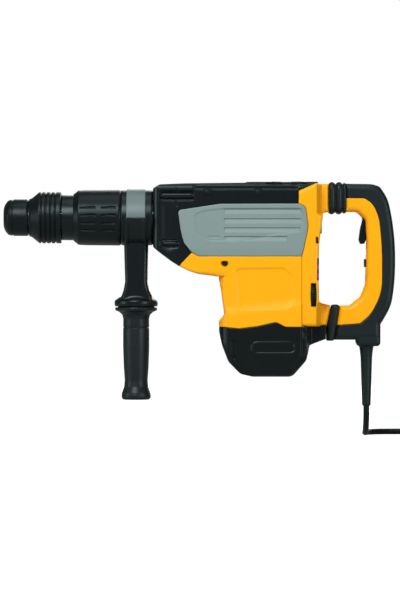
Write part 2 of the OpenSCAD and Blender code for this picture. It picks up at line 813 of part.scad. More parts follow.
// Outline of the black end cap under the motor, with a wall of t taken off and its top at z = top
function cap_outline(t, top) = rounded([
    [motor_x - 70 + t, top, 2], [motor_x - 65 + t, cap_z + 46, 10],
    [motor_x - 56 + t, cap_z + 22, 16], [motor_x - 32, cap_z + t, 16],
    [motor_x + 40, cap_z + t, 14], [motor_x + 58 - t, cap_z + 20, 12],
    [motor_x + 65 - t, cap_z + 47, 8], [rear_x + 6 - t, cap_z + 57 + t, 4],
    [rear_x + 8 - t, top, 1]
]);

module end_cap() {
    w = motor_w / 2;
    color("#1b2022") from_nose() difference() {
        union() {
            difference() {
                intersection() {
                    slab(-w, w) polygon(cap_outline(0, seam_z));
                    along(motor_x - 90, rear_x + 30) polygon(pill(-w, cap_z, w, seam_z + 20, 18, 6));
                }
                intersection() {
                    slab(-w + motor_wall, w - motor_wall) polygon(cap_outline(motor_wall, seam_z + 10));
                    along(motor_x - 90, rear_x + 30)
                        polygon(pill(-w + motor_wall, cap_z + motor_wall, w - motor_wall, seam_z + 40, 14, 6));
                }
                arm_trim(cap_z, seam_z + over);
            }
            ring_z(motor_x, 0, cap_z + 1, cap_z + 22, 17, 13);
            intersection() {
                cap_bosses(cap_z + 16, seam_z, 5);
                slab(-w + 1, w - 1) polygon(cap_outline(1, seam_z));
            }
        }
        cap_bosses(cap_z, seam_z + over, 2);
        cap_bosses(cap_z, cap_z + 24, 4);
        for (i = [0:5], s = [-1, 1]) {
            translate([motor_x - 50 + i * 5, s > 0 ? w - 8 : -w - 2, cap_z + 31]) cube([2, 10, 26]);
        }
    }
}

module indicator_panel() {
    color("#101214") from_nose() union() {
        translate([rear_x - 5.4, -12.8, -93.8]) cube([2, 25.6, 55.6]);
        for (z = [-50, -62, -74]) {
            translate([rear_x - 3.4, -5, z]) cube([0.8, 10, 4]);
        }
    }
}

module barrel_screws() {
    color("silver") from_nose() for (a = [45:90:315]) {
        rotate([a, 0, 0]) {
            bar(case_x - 16.5, case_x + 9, 0, barrel_r - 5.5, 2);
            bar(case_x - 19, case_x - 16, 0, barrel_r - 5.5, 3.6);
        }
    }
}

module case_screws() {
    w = motor_w / 2;
    color("#404446") from_nose() {
        for (s = [-1, 1]) {
            screw_y(side_screw[0], side_screw[1], s * (w - 0.4), s, 3.8, 2.6, 1.8, 9);
        }
        cap_bosses(cap_z + 21, cap_z + 24, 3.6);
        cap_bosses(cap_z + 24, seam_z + 11, 2);
    }
}

module spindle_bearings() {
    mid = (cylinder_outer + 34.5) / 2;
    color("lightgrey") from_nose() {
        difference() {
            union() {
                ring_x(barrel_x + 24, barrel_x + 36, mid - 2.05, cylinder_outer + play);
                ring_x(barrel_x + 24, barrel_x + 36, 34.5, mid + 2.15);
            }
            rotate([0, 90, 0]) translate([0, 0, barrel_x + 30]) rotate_extrude()
                translate([mid, 0]) circle(r = 3.35, $fn = 24);
        }
        for (a = [0:30:330]) {
            rotate([a, 0, 0]) translate([barrel_x + 30, 0, mid]) sphere(r = 3.3, $fn = 24);
        }
        ring_x(face_x - 38, face_x - 18, 27, cylinder_outer + play);
    }
}

module shaft_bearings() {
    color("lightgrey") from_nose() {
        bearing_z(motor_x, crank_gear_z - 18, 8, 6 + play, 13);
        bearing_z(motor_x, cap_z + 10, 8, 6 + play, 13);
        for (x = [rotary_x, crank_x]) {
            ring_z(x, 0, small_gear_z - 8, small_gear_z - 1, 9, 6 + play);
        }
        bearing_z(crank_x, bridge_z + 0.5, 8, 11 + play, 20);
        ring_z(rotary_x, 0, bridge_z, bridge_z + bridge_t, 12, 8 + play);
    }
}

module field_stator() {
    w = motor_w / 2 - motor_wall;
    color("#6c6f72") from_nose() difference() {
        intersection() {
            ring_z(motor_x, 0, core_top_z - core_l, core_top_z, w - 0.4, 28);
            translate([motor_x - w, -w, core_top_z - core_l]) cube([2 * w, 2 * w, core_l]);
        }
        for (s = [-1, 1]) {
            translate([motor_x + (s > 0 ? 44 : -60), -30, core_top_z - core_l - over])
                cube([16, 60, core_l + 2 * over]);
        }
    }
}

module brush_holders() {
    z0 = core_top_z - core_l - 26;
    color("#b08d57") from_nose() for (s = [-1, 1]) {
        difference() {
            translate([motor_x - 8, s > 0 ? 19 : -44, z0]) cube([16, 25, 14]);
            translate([motor_x - 5, s > 0 ? 18 : -45, z0 + 3]) cube([10, 27, 8]);
        }
    }
}

module carbon_brushes() {
    z0 = core_top_z - core_l - 26;
    color("#1a1a1a") from_nose() for (s = [-1, 1]) {
        translate([motor_x - 4.9, s > 0 ? 16.2 : -34.2, z0 + 3.1]) cube([9.8, 18, 7.8]);
    }
}

module electronics_module() {
    color("#2b3a34") from_nose() union() {
        translate([rear_x - 26, -30, -90]) cube([12, 60, 60]);
        translate([rear_x - 24, -24, -30]) cube([6, 20, 20]);
    }
}

module mode_selector() {
    color("#16191a") from_nose() difference() {
        union() {
            post(motor_x + 30, 0, case_top - 0.9, case_top + 1.4, 32);
            translate([motor_x + 30, 0, case_top + 1.4]) cylinder(r1 = 32, r2 = 30, h = 1.2);
        }
        for (s = [-1, 1]) {
            translate([motor_x + 30, s * 36, case_top + 0.6]) cylinder(r = 28, h = 4);
        }
    }
}

module speed_dial() {
    x0 = rear_x - 15.7;
    color("#101214") from_nose() difference() {
        bar(x0, x0 + 7, dial_y, dial_z, dial_r);
        for (a = [0:15:345]) {
            translate([x0 - over, dial_y, dial_z]) rotate([a, 0, 0]) translate([0, -0.9, dial_r - 0.9])
                cube([7 + 2 * over, 1.8, 2]);
        }
    }
}

// ---------------------------------------------------------------- side handle

module clamp_band() {
    x0 = band_x - band_w / 2;
    color("#7f8c8b") from_nose() difference() {
        union() {
            ring_x(x0, x0 + band_w, band_r, barrel_r + 0.1);
            for (s = [-1, 1]) {
                translate([x0, s > 0 ? 9 : -13, -band_r - 14]) cube([band_w, 4, 18]);
            }
        }
        translate([x0 - over, -9, -band_r - 20]) cube([band_w + 2 * over, 18, 24]);
        bar(x0 - over, x0 + band_w + over, 0, 0, barrel_r + 0.1);
        cross_pin(band_x, -band_r - 8, -20, 20, 3);
    }
}

module clamp_yoke() {
    y0 = 25;
    color("#1b2022") from_nose() difference() {
        union() {
            intersection() {
                ring_x(band_x - 16.5, band_x + 16.5, band_r + 5, band_r + 0.3);
                translate([band_x - 20, -60, -60]) cube([40, 120, 60]);
            }
            intersection() {
                slab(-y0, y0) polygon(rounded([
                    [band_x - 17, -30, 3], [band_x + 17, -30, 3], [band_x + 17.5, -98, 6],
                    [band_x + 23.5, guard_z + 4, 3], [band_x + 21, guard_z, 2],
                    [band_x - 21, guard_z, 2], [band_x - 21.5, guard_z + 4, 3],
                    [band_x - 17.5, -98, 6]
                ]));
                along(band_x - 40, band_x + 40) polygon(pill(-y0, -140, y0, -10, 8));
            }
            spun(band_x, 0, [
                [5, guard_z], [21, guard_z], [guard_r - 2, guard_z - 1.5], [guard_r, guard_z - 4],
                [guard_r, guard_z - 9], [guard_r - 2.5, guard_z - 13], [5, guard_z - 13]
            ]);
        }
        bar(band_x - 30, band_x + 30, 0, 0, band_r + 0.3);
        translate([band_x - 20, -14, -band_r - 15]) cube([40, 28, 30]);
        post(band_x, 0, guard_z - 20, -30, 5);
    }
}

module tension_rod() {
    color("silver") from_nose() union() {
        post(band_x, 0, guard_z - 13 - 60, -band_r - 12, 4);
        cross_pin(band_x, -band_r - 8, -13, 13, 2.9);
        post(band_x, 0, -band_r - 13, -band_r - 4, 6);
    }
}

module side_grip() {
    z0 = guard_z - 13 - gap;
    ze = grip_end_z;
    color("#14181a") from_nose() difference() {
        spun(band_x, 0, [
            [0, z0 - 1], [guard_r - 3, z0 - 1], [guard_r - 1, z0 - 2.4], [guard_r - 1, z0 - 5],
            [24, z0 - 8.5], [20.5, z0 - 12], [19.2, z0 - 17], [19.4, z0 - 31], [18.6, z0 - 32.4],
            [19.4, z0 - 34], [19.5, z0 - 60], [18.6, z0 - 90], [17, z0 - 112], [17.6, z0 - 120],
            [20, z0 - 128], [22, z0 - 133], [22, ze + 4.5], [20, ze + 1], [17, ze], [0, ze]
        ]);
        post(band_x, 0, guard_z - 13 - 62, z0 + over, 4.1);
    }
}

// ---------------------------------------------------------------- rear handle

// Outer outline of the D handle
function handle_outer() = rounded([
    [handle_x, 51, 2], [grip_x - 10, 50.5, 10], [grip_x + 8.5, 34, 14], [grip_x + 18.5, 8, 60],
    [grip_x + 23.6, -56, 300], [grip_x + 20.5, -114, 100], [grip_x + 14.5, -141, 14],
    [grip_x + 3, -156, 6], [grip_x + 1, -160, 3], [grip_x + 1, -183, 2], [pivot_x + 13.5, -183, 1],
    [pivot_x + 22.5, -131, 2], [grip_x - 45, -131, 8], [grip_x - 28, -116, 10],
    [grip_x - 21, -98, 12], [grip_x - 22, -2, 10], [grip_x - 34, 8.5, 10], [handle_x, 8.5, 2]
]);

// Region of the black overmould: the back of the grip and the underside of the lower arm
function overmould_region() = rounded([
    [handle_x - over, 29.5, 0], [handle_x + 26, 28, 20], [grip_x - 6, 20, 14], [grip_x + 2, -20, 60],
    [grip_x + 3, -112, 30], [grip_x - 14, -142, 16], [grip_x - 28, -158.6, 4],
    [pivot_x + 5, -161.5, 0], [pivot_x + 5, -200, 0], [grip_x + 40, -200, 0],
    [grip_x + 40, 70, 0], [handle_x - over, 70, 0]
]);

module handle_hollow() {
    slab(-14, 14) polygon(pill(grip_x - 9, -86, grip_x + 13, -6, 3));
    slab(-9.2, 9.2) polygon(pill(grip_x - 30, -47, grip_x - 8.5, 12, 2));
    slab(-4, 4) polygon(pill(grip_x - 25, -77, grip_x - 8.5, -59, 1));
}

// Screw holes through the two handle shells, their heads on the far side
module handle_screw_holes() {
    for (p = handle_screw_at) {
        cross_pin(p[0], p[1], handle_half - 2.2, handle_half + over, 3.1);
        cross_pin(p[0], p[1], -4.5, handle_half, 1.5);
    }
}

// One half of the handle between two planes across the tool
module handle_half_shell(y0, y1) {
    difference() {
        union() {
            difference() {
                slab(y0, y1) polygon(handle_outer());
                slab(y0 - over, y1 + over) polygon(overmould_region());
            }
            slab(max(y0, -tongue_w), min(y1, tongue_w))
                polygon(pill(pivot_x - tongue_h, pivot_z - tongue_h, pivot_x + 24, pivot_z + tongue_h, 5));
        }
        cross_pin(pivot_x, pivot_z, -60, 60, pivot_r);
        handle_hollow();
        handle_screw_holes();
    }
}

module handle_left() {
    color("#ffb400") from_nose() handle_half_shell(-handle_half, -0.05);
}

module handle_right() {
    color("#ffb400") from_nose() handle_half_shell(0.05, handle_half);
}

module handle_overmould() {
    color("#1b2022") from_nose() difference() {
        intersection() {
            slab(-handle_half - 0.5, handle_half + 0.5) polygon(handle_outer());
            slab(-handle_half - 1, handle_half + 1) polygon(overmould_region());
            along(pivot_x, grip_x + 40) polygon(pill(-handle_half - 0.5, -184, handle_half + 0.5, 52, 7));
        }
        handle_hollow();
    }
}

module handle_screws() {
    color("#404446") from_nose() for (p = handle_screw_at) {
        screw_y(p[0], p[1], handle_half, 1, 3, 2, 1.5, handle_half + 1.5);
    }
}

module pivot_pin() {
    color("silver") from_nose() cross_pin(pivot_x, pivot_z, -handle_half, handle_half, pivot_r);
}

module damper_springs() {
    color("grey") from_nose() for (s = [-1, 1]) {
        translate([0, s * 8, 29]) spring_x(bellows_x + 0.5, handle_x - 0.3, 6, 1.2, 5);
    }
}

module arm_boot() {
    w = handle_half + 1.5;
    color("#14181a") from_nose() difference() {
        slab(-w, w) polygon(rounded([
            [pivot_x + 11.2, -130, 2], [pivot_x + 21.8, -130, 2], [pivot_x + 12.8, -184.5, 2],
            [pivot_x + 2.2, -184.5, 2]
        ]));
        translate([pivot_x, -tongue_w - 0.2, pivot_z - tongue_h - 0.2])
            cube([30, 2 * tongue_w + 0.4, 2 * tongue_h + 0.4]);
    }
}

module bellows() {
    ribs = 3;
    pitch = bellows_l / ribs;
    color("#14181a") from_nose() difference() {
        union() {
            for (i = [0:ribs - 1]) {
                translate([bellows_x + 0.3 + i * pitch, 0, 0]) along(0.6, pitch - 1.1)
                    polygon(pill(-handle_half - 2, 4.5, handle_half + 2, 53.5, 7));
            }
            along(bellows_x + 0.3, handle_x - 0.1) polygon(pill(-handle_half + 1, 8, handle_half - 1, 50, 6));
        }
        along(bellows_x - over, handle_x + over) polygon(pill(-handle_half + 4, 12, handle_half - 4, 46, 4));
    }
}

module trigger() {
    color("#14181a") from_nose() slab(-8.6, 8.6) polygon(rounded([
        [grip_x - 15, 5, 2], [grip_x - 28.5, 6, 2], [grip_x - 26.5, -4, 6], [grip_x - 30, -18, 30],
        [grip_x - 31.7, -33.5, 6], [grip_x - 29, -40, 3], [grip_x - 22.5, -39, 2], [grip_x - 15, -20, 2]
    ]));
}

module lock_slider() {
    color("#14181a") from_nose() union() {
        translate([grip_x - 23.5, -3.5, -74]) cube([4, 7, 12]);
        translate([grip_x - 20, -3, -72]) cube([6, 6, 8]);
    }
}

module switch_module() {
    color("#303436") from_nose() slab(-13, 13) polygon(pill(grip_x - 8, -84, grip_x + 12, -8, 2));
}

// ---------------------------------------------------------------- cord

module strain_relief() {
    color("#14181a") from_nose() union() {
        slab(-handle_half + 1, handle_half - 1) polygon(rounded([
            [grip_x - 35, -183, 0], [grip_x + 1, -183, 0], [grip_x + 0.5, -190, 3],
            [grip_x - 2, -192.7, 3], [grip_x - 33, -192.7, 3]
        ]));
        spun(cord_exit_x, 0, concat(
            [[0, -192.6], [10.7, -192.6], [10.7, -196]],
            [for (i = [0:7]) each [
                [9.2 - 0.32 * i, -199 - 10 * i], [8.4 - 0.28 * i, -200 - 10 * i],
                [8.4 - 0.28 * i, -204 - 10 * i], [9.2 - 0.32 * i, -205 - 10 * i]
            ]],
            [[6.4, cord_exit_z + 3], [5.8, cord_exit_z], [0, cord_exit_z]]
        ));
    }
}

module cord_tube() {
    color("#111315") tube(CORD, cord_d / 2);
}

module cord_coil() {
    color("#111315") translate([coil_centre[0], coil_centre[1], floor_z]) rotate_extrude()
        polygon(pill(coil_in_r, 0, coil_out_r, coil_h, 4));
}

// Lays a plug drawn along +X on the coil, its body's back face at X = 0
module on_coil() {
    translate([coil_centre[0] + plug_turn_r, coil_centre[1] - plug_cone_l, plug_z])
        rotate([0, 0, -90]) children();
}

module plug_body() {
    color("#111315") on_coil() {
        translate([0, -16, -13.5]) cube([38, 32, 27]);
        translate([-plug_cone_l, 0, 0]) rotate([0, 90, 0]) cylinder(r1 = 6, r2 = 10, h = plug_cone_l + 1);
    }
}

module plug_blades() {
    color("silver") on_coil() for (s = [-1, 1]) {
        translate([38, s * 6.35 - 0.75, -3.2]) cube([16.5, 1.5, 6.4]);
    }
}

spindle();
locking_rollers();
nose_cap();
sleeve_spring();
spindle_gear();
locking_sleeve();
locking_ring();
beat_piece();
ram();
piston();
wrist_pin();
connecting_rod();
crank_gear();
crank_shaft();
rotary_shaft();
rotary_gear();
armature_shaft();
armature_core();
commutator();
cooling_fan();
barrel_housing();
barrel_cover();
gear_case();
top_cover();
side_panel_left();
side_panel_right();
motor_housing();
rear_cover();
end_cap();
indicator_panel();
barrel_screws();
case_screws();
spindle_bearings();
shaft_bearings();
field_stator();
brush_holders();
carbon_brushes();
electronics_module();
mode_selector();
speed_dial();
clamp_band();
clamp_yoke();
tension_rod();
side_grip();
handle_left();
handle_right();
handle_overmould();
handle_screws();
pivot_pin();
damper_springs();
bellows();
arm_boot();
trigger();
lock_slider();
switch_module();
strain_relief();
cord_tube();
cord_coil();
plug_body();
plug_blades();
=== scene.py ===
"""The looks of a corded combination hammer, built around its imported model.

Shapes are written in tool millimetres: X runs back from the nose, Y across, Z up from the
spindle axis. ToolFrame turns them into the row frame's metres.
"""

import json
import logging
import math
from dataclasses import dataclass, field
from enum import Enum
from typing import Callable

import bmesh
import bpy
import numpy as np
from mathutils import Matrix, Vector


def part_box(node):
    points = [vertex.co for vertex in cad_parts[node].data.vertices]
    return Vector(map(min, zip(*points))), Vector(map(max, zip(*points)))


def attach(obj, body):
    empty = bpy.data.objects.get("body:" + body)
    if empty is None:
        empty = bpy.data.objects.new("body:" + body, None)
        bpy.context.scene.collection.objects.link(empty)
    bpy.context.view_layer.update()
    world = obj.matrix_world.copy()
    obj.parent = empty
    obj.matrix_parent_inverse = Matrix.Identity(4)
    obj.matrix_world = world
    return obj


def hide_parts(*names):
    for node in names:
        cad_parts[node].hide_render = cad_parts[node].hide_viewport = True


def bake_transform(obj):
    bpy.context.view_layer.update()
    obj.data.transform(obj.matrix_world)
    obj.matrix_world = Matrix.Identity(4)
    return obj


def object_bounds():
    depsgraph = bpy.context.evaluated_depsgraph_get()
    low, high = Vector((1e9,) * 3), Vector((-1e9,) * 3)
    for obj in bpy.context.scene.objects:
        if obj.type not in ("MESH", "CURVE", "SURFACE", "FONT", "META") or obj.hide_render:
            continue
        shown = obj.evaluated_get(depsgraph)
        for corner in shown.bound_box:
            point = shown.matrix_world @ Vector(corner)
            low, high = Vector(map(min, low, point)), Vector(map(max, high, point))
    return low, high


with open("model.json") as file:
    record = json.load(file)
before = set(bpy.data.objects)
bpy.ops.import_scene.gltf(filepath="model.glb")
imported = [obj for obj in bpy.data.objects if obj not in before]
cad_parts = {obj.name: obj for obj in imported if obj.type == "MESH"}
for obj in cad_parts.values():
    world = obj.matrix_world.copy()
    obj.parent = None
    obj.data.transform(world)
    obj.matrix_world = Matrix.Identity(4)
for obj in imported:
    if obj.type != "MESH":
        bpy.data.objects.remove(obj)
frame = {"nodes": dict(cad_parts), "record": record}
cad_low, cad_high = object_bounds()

LOG = logging.getLogger("combination_hammer")
Array = np.ndarray
Half = float | Callable[[Array, Array], Array]
COARSE = 1.0


# ------------------------------------------------------------------ frame and stations


@dataclass(frozen=True)
class ToolFrame:
    """Where the tool's own axes lie in the row frame.

    Attributes:
        nose_x: row X of the nose tip, in metres.
        axis_z: row Z of the spindle axis, in metres.
    """

    nose_x: float
    axis_z: float

    def metres(self, points: Array) -> Array:
        """Tool millimetres as row metres."""
        return np.asarray(points, float) / 1000 + np.array([self.nose_x, 0.0, self.axis_z])

    def span(self, node: str) -> tuple[Array, Array]:
        """Lowest and highest corner of a CAD node, in tool millimetres."""
        low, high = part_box(node)
        shift = np.array([self.nose_x, 0.0, self.axis_z])
        return (np.array(low) - shift) * 1000, (np.array(high) - shift) * 1000

    def middle(self, node: str) -> Array:
        """Centre of a CAD node's box, in tool millimetres."""
        low, high = self.span(node)
        return (low + high) / 2


def find_tool() -> ToolFrame:
    """Reads the nose and the spindle axis off the frame."""
    spindle_low, spindle_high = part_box("spindle")
    return ToolFrame(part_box("nose_cap")[0].x, (spindle_low.z + spindle_high.z) / 2)


TOOL = find_tool()


@dataclass(frozen=True)
class Stations:
    """The places that the sub-assemblies share, in tool millimetres."""

    neck_x: float = TOOL.span("locking_sleeve")[1][0]
    barrel_x: float = TOOL.span("barrel_cover")[0][0]
    collar_x: float = TOOL.span("barrel_cover")[1][0]
    case_x: float = TOOL.span("gear_case")[0][0]
    rear_x: float = TOOL.middle("pivot_pin")[0] - 5.0
    motor_x: float = TOOL.middle("armature_shaft")[0]
    band_x: float = TOOL.middle("clamp_band")[0]
    grip_x: float = -TOOL.nose_x * 1000
    cap_z: float = TOOL.span("end_cap")[0][2]
    case_top: float = TOOL.span("gear_case")[1][2] - 2.5
    motor_half: float = TOOL.span("motor_housing")[1][1]
    panel_half: float = TOOL.span("side_panel_right")[1][1]
    handle_half: float = TOOL.span("handle_right")[1][1]
    case_half: float = TOOL.span("gear_case")[1][1]
    neck_r: float = TOOL.span("locking_sleeve")[1][1] - 4.5


AT = Stations()


# ------------------------------------------------------------------ finishes


class Noise(Enum):
    """How a finish's patches lie."""

    EVEN = (1.0, 1.0, 1.0)
    ALONG_X = (0.06, 1.0, 1.0)
    ALONG_Z = (1.0, 1.0, 0.06)


@dataclass(frozen=True)
class Finish:
    """One surface finish.

    Attributes:
        slot: the record's material slot; not used.
        colour: main colour, sRGB hex.
        shade: the colour that its patches lean to, sRGB hex.
        rough: mean roughness.
        spread: how far the roughness strays.
        metal: metallic share.
        grain: grain size across, in millimetres.
        depth: grain height, in millimetres.
        patch: patch size across, in millimetres.
        mix: strength of the shade colour in the patches.
        coat: clear coat weight.
        gloss: specular level.
        tint: colour of the shine.
        lay: how the patches are stretched.
    """

    slot: str
    colour: str
    shade: str
    rough: float = 0.5
    spread: float = 0.12
    metal: float = 0.0
    grain: float = 0.9
    depth: float = 0.05
    patch: float = 30.0
    mix: float = 0.5
    coat: float = 0.0
    gloss: float = 0.5
    tint: str = "#ffffff"
    lay: Noise = Noise.EVEN


def linear(hexcode: str) -> tuple[float, float, float, float]:
    """An sRGB hex colour as linear RGBA."""
    parts = [int(hexcode[i : i + 2], 16) / 255 for i in (1, 3, 5)]
    return (*(c / 12.92 if c <= 0.04045 else ((c + 0.055) / 1.055) ** 2.4 for c in parts), 1.0)


# The colour of the shine on the black pieces
COLD = "#d6eaec"
FINISHES = {
    "case_black": Finish(
        "black_plastic", "#0b1213", "#080d0e", rough=0.30, spread=0.07, gloss=0.36, tint=COLD, grain=0.8,
        depth=0.05,
    ),
    "cap_black": Finish(
        "black_plastic", "#080d0e", "#06090a", rough=0.31, spread=0.07, gloss=0.33, tint=COLD, grain=0.9,
        depth=0.06,
    ),
    "soft_black": Finish(
        "black_rubber", "#151d1f", "#0f1617", rough=0.40, spread=0.07, gloss=0.36, tint=COLD, grain=0.6,
        depth=0.07,
    ),
    "nose_black": Finish(
        "black_rubber", "#0b1213", "#080d0e", rough=0.36, spread=0.07, gloss=0.26, tint=COLD, grain=0.7,
        depth=0.05,
    ),
    "yellow": Finish(
        "yellow_plastic", "#ffb300", "#fda800", rough=0.36, spread=0.08, gloss=0.26, grain=0.9, depth=0.035,
        mix=0.4,
    ),
    "panel_grey": Finish(
        "grey_plastic", "#829694", "#788b89", rough=0.42, gloss=0.30, grain=0.8, depth=0.035, mix=0.5,
    ),
    "band_grey": Finish(
        "band_steel", "#6a7b7b", "#5f6f6f", rough=0.40, gloss=0.30, grain=0.5, depth=0.01, lay=Noise.ALONG_Z,
    ),
    # Matte near-black for the dial and the dark inserts; its bars in the clip pockets and latch slots are painted
    # shade
    "slot_dark": Finish(
        "black_plastic", "#060808", "#040505", rough=0.6, gloss=0.25, tint=COLD, grain=0.6, depth=0.03,
    ),
    "screw_dark": Finish("screw_steel", "#3a3f41", "#24282a", rough=0.34, metal=0.9, grain=0.4, depth=0.01),
    "indicator_dark": Finish("indicator", "#111517", "#0a0d0e", rough=0.25, grain=0.5, depth=0.01, coat=0.3),
    "indicator_red": Finish("indicator", "#c8102e", "#a00c22", rough=0.25, grain=0.5, depth=0.01, coat=0.3),
    "cord_black": Finish(
        "cord_rubber", "#090f10", "#060a0b", rough=0.42, spread=0.07, gloss=0.30, tint=COLD, grain=0.6,
        depth=0.04,
    ),
    "brass": Finish("brass", "#c9a65a", "#a88745", rough=0.28, metal=1.0, grain=0.4, depth=0.01),
    "bright_steel": Finish(
        "steel", "#b9bdc0", "#94999c", rough=0.28, metal=1.0, grain=0.3, depth=0.008, lay=Noise.ALONG_X,
    ),
    "gear_steel": Finish("dark_steel", "#6d7173", "#4c5052", rough=0.38, metal=0.9, grain=0.3, depth=0.01),
    "magnesium": Finish(
        "magnesium", "#0a1113", "#070c0d", rough=0.32, spread=0.07, gloss=0.34, tint=COLD, grain=0.7,
        depth=0.05,
    ),
    "copper": Finish("copper", "#b8693a", "#8e4d29", rough=0.32, metal=1.0, grain=0.4, depth=0.01),
    "windings": Finish("windings", "#8a4f2a", "#5f351b", rough=0.4, metal=0.5, grain=0.6, depth=0.1),
    "laminations": Finish("laminations", "#63686b", "#43474a", rough=0.5, metal=0.8, grain=0.5, depth=0.03),
    "carbon": Finish("carbon", "#1c1c1d", "#121213", rough=0.7, grain=0.4, depth=0.03),
    "board": Finish("board", "#21382f", "#182a23", rough=0.5, grain=0.8, depth=0.03),
    "cast": Finish("cast", "#a4a8aa", "#7f8486", rough=0.5, metal=0.8, grain=0.7, depth=0.04),
}


class Paint:
    """Builds each finish's material once, around two shared node groups."""

    def __init__(self) -> None:
        """Builds the shared groups."""
        self.made: dict[str, bpy.types.Material] = {}
        self.grain = self.grain_group()
        self.rub = self.rub_group()

    @staticmethod
    def group(name: str, inputs: dict[str, str], outputs: dict[str, str]) -> bpy.types.ShaderNodeTree:
        """A new shader group with the given sockets.

        Args:
            name: the group's name.
            inputs: socket types by name.
            outputs: socket types by name.

        Returns:
            The node tree with its two ends, named "in" and "out".
        """
        tree = bpy.data.node_groups.new(name, "ShaderNodeTree")
        for way, sockets in (("INPUT", inputs), ("OUTPUT", outputs)):
            for socket, kind in sockets.items():
                tree.interface.new_socket(socket, in_out=way, socket_type=f"NodeSocket{kind}")
        tree.nodes.new("NodeGroupInput").name = "in"
        tree.nodes.new("NodeGroupOutput").name = "out"
        return tree

    def grain_group(self) -> bpy.types.ShaderNodeTree:
        """Moulded grain: fine height, with a roughness that follows it."""
        tree = self.group(
            "moulded_grain",
            {"Place": "Vector", "Grain Scale": "Float", "Roughness": "Float", "Spread": "Float"},
            {"Roughness": "Float", "Height": "Float"},
        )
        nodes, links = tree.nodes, tree.links
        fine = nodes.new("ShaderNodeTexNoise")
        fine.inputs["Detail"].default_value = 3
        spread = nodes.new("ShaderNodeMath")
        spread.operation = "MULTIPLY_ADD"
        centred = nodes.new("ShaderNodeMath")
        centred.operation = "SUBTRACT"
        centred.inputs[1].default_value = 0.5
        links.new(nodes["in"].outputs["Place"], fine.inputs["Vector"])
        links.new(nodes["in"].outputs["Grain Scale"], fine.inputs["Scale"])
        links.new(fine.outputs["Fac"], centred.inputs[0])
        links.new(centred.outputs[0], spread.inputs[0])
        links.new(nodes["in"].outputs["Spread"], spread.inputs[1])
        links.new(nodes["in"].outputs["Roughness"], spread.inputs[2])
        links.new(spread.outputs[0], nodes["out"].inputs["Roughness"])
        links.new(fine.outputs["Fac"], nodes["out"].inputs["Height"])
        return tree

    def rub_group(self) -> bpy.types.ShaderNodeTree:
        """Handling marks: broad soft patches where the colour leans to its shade."""
        tree = self.group(
            "handling_marks",
            {
                "Place": "Vector", "Patch Scale": "Float", "Color": "Color", "Shade": "Color",
                "Amount": "Float",
            },
            {"Color": "Color"},
        )
        nodes, links = tree.nodes, tree.links
        broad = nodes.new("ShaderNodeTexNoise")
        broad.inputs["Detail"].default_value = 4
        broad.inputs["Roughness"].default_value = 0.6
        amount = nodes.new("ShaderNodeMath")
        amount.operation = "MULTIPLY"
        mix = nodes.new("ShaderNodeMix")
        mix.data_type = "RGBA"
        links.new(nodes["in"].outputs["Place"], broad.inputs["Vector"])
        links.new(nodes["in"].outputs["Patch Scale"], broad.inputs["Scale"])
        links.new(broad.outputs["Fac"], amount.inputs[0])
        links.new(nodes["in"].outputs["Amount"], amount.inputs[1])
        links.new(amount.outputs[0], mix.inputs["Factor"])
        links.new(nodes["in"].outputs["Color"], mix.inputs["A"])
        links.new(nodes["in"].outputs["Shade"], mix.inputs["B"])
        links.new(mix.outputs["Result"], nodes["out"].inputs["Color"])
        return tree

    def __call__(self, name: str) -> bpy.types.Material:
        """The material of a finish.

        Args:
            name: a key of FINISHES.

        Returns:
            The material, built on first use.
        """
        if name in self.made:
            return self.made[name]
        look = FINISHES[name]
        material = bpy.data.materials.new(name)
        material.use_nodes = True
        nodes, links = material.node_tree.nodes, material.node_tree.links
        shader = nodes["Principled BSDF"]
        shader.inputs["Metallic"].default_value = look.metal
        shader.inputs["Coat Weight"].default_value = look.coat
        shader.inputs["Specular IOR Level"].default_value = look.gloss
        shader.inputs["Specular Tint"].default_value = linear(look.tint)
        place = nodes.new("ShaderNodeTexCoord")
        stretch = nodes.new("ShaderNodeMapping")
        stretch.inputs["Scale"].default_value = look.lay.value
        grain = nodes.new("ShaderNodeGroup")
        grain.node_tree = self.grain
        grain.inputs["Grain Scale"].default_value = 1000 / look.grain
        grain.inputs["Roughness"].default_value = look.rough
        grain.inputs["Spread"].default_value = look.spread * 2
        rub = nodes.new("ShaderNodeGroup")
        rub.node_tree = self.rub
        rub.inputs["Patch Scale"].default_value = 1000 / look.patch
        rub.inputs["Color"].default_value = linear(look.colour)
        rub.inputs["Shade"].default_value = linear(look.shade)
        rub.inputs["Amount"].default_value = look.mix
        bump = nodes.new("ShaderNodeBump")
        bump.inputs["Strength"].default_value = 0.35
        bump.inputs["Distance"].default_value = look.depth / 1000
        links.new(place.outputs["Object"], stretch.inputs["Vector"])
        for part in (grain, rub):
            links.new(stretch.outputs["Vector"], part.inputs["Place"])
        links.new(grain.outputs["Roughness"], shader.inputs["Roughness"])
        links.new(grain.outputs["Height"], bump.inputs["Height"])
        links.new(bump.outputs["Normal"], shader.inputs["Normal"])
        links.new(rub.outputs["Color"], shader.inputs["Base Color"])
        self.made[name] = material
        return material


PAINT = Paint()


# ------------------------------------------------------------------ forms


def soft_min(a: Array, b: Array, soft: float) -> Array:
    """The lower of two distances, with a fillet as wide as soft where they meet."""
    if soft <= 0:
        return np.minimum(a, b)
    near = np.maximum(soft - np.abs(a - b), 0) / soft
    return np.minimum(a, b) - near * near * soft * 0.25


def ease(value: Array, start: float, end: float) -> Array:
    """0 before start and 1 after end, turning smoothly in between."""
    t = np.clip((value - start) / (end - start), 0, 1)
    return t * t * (3 - 2 * t)


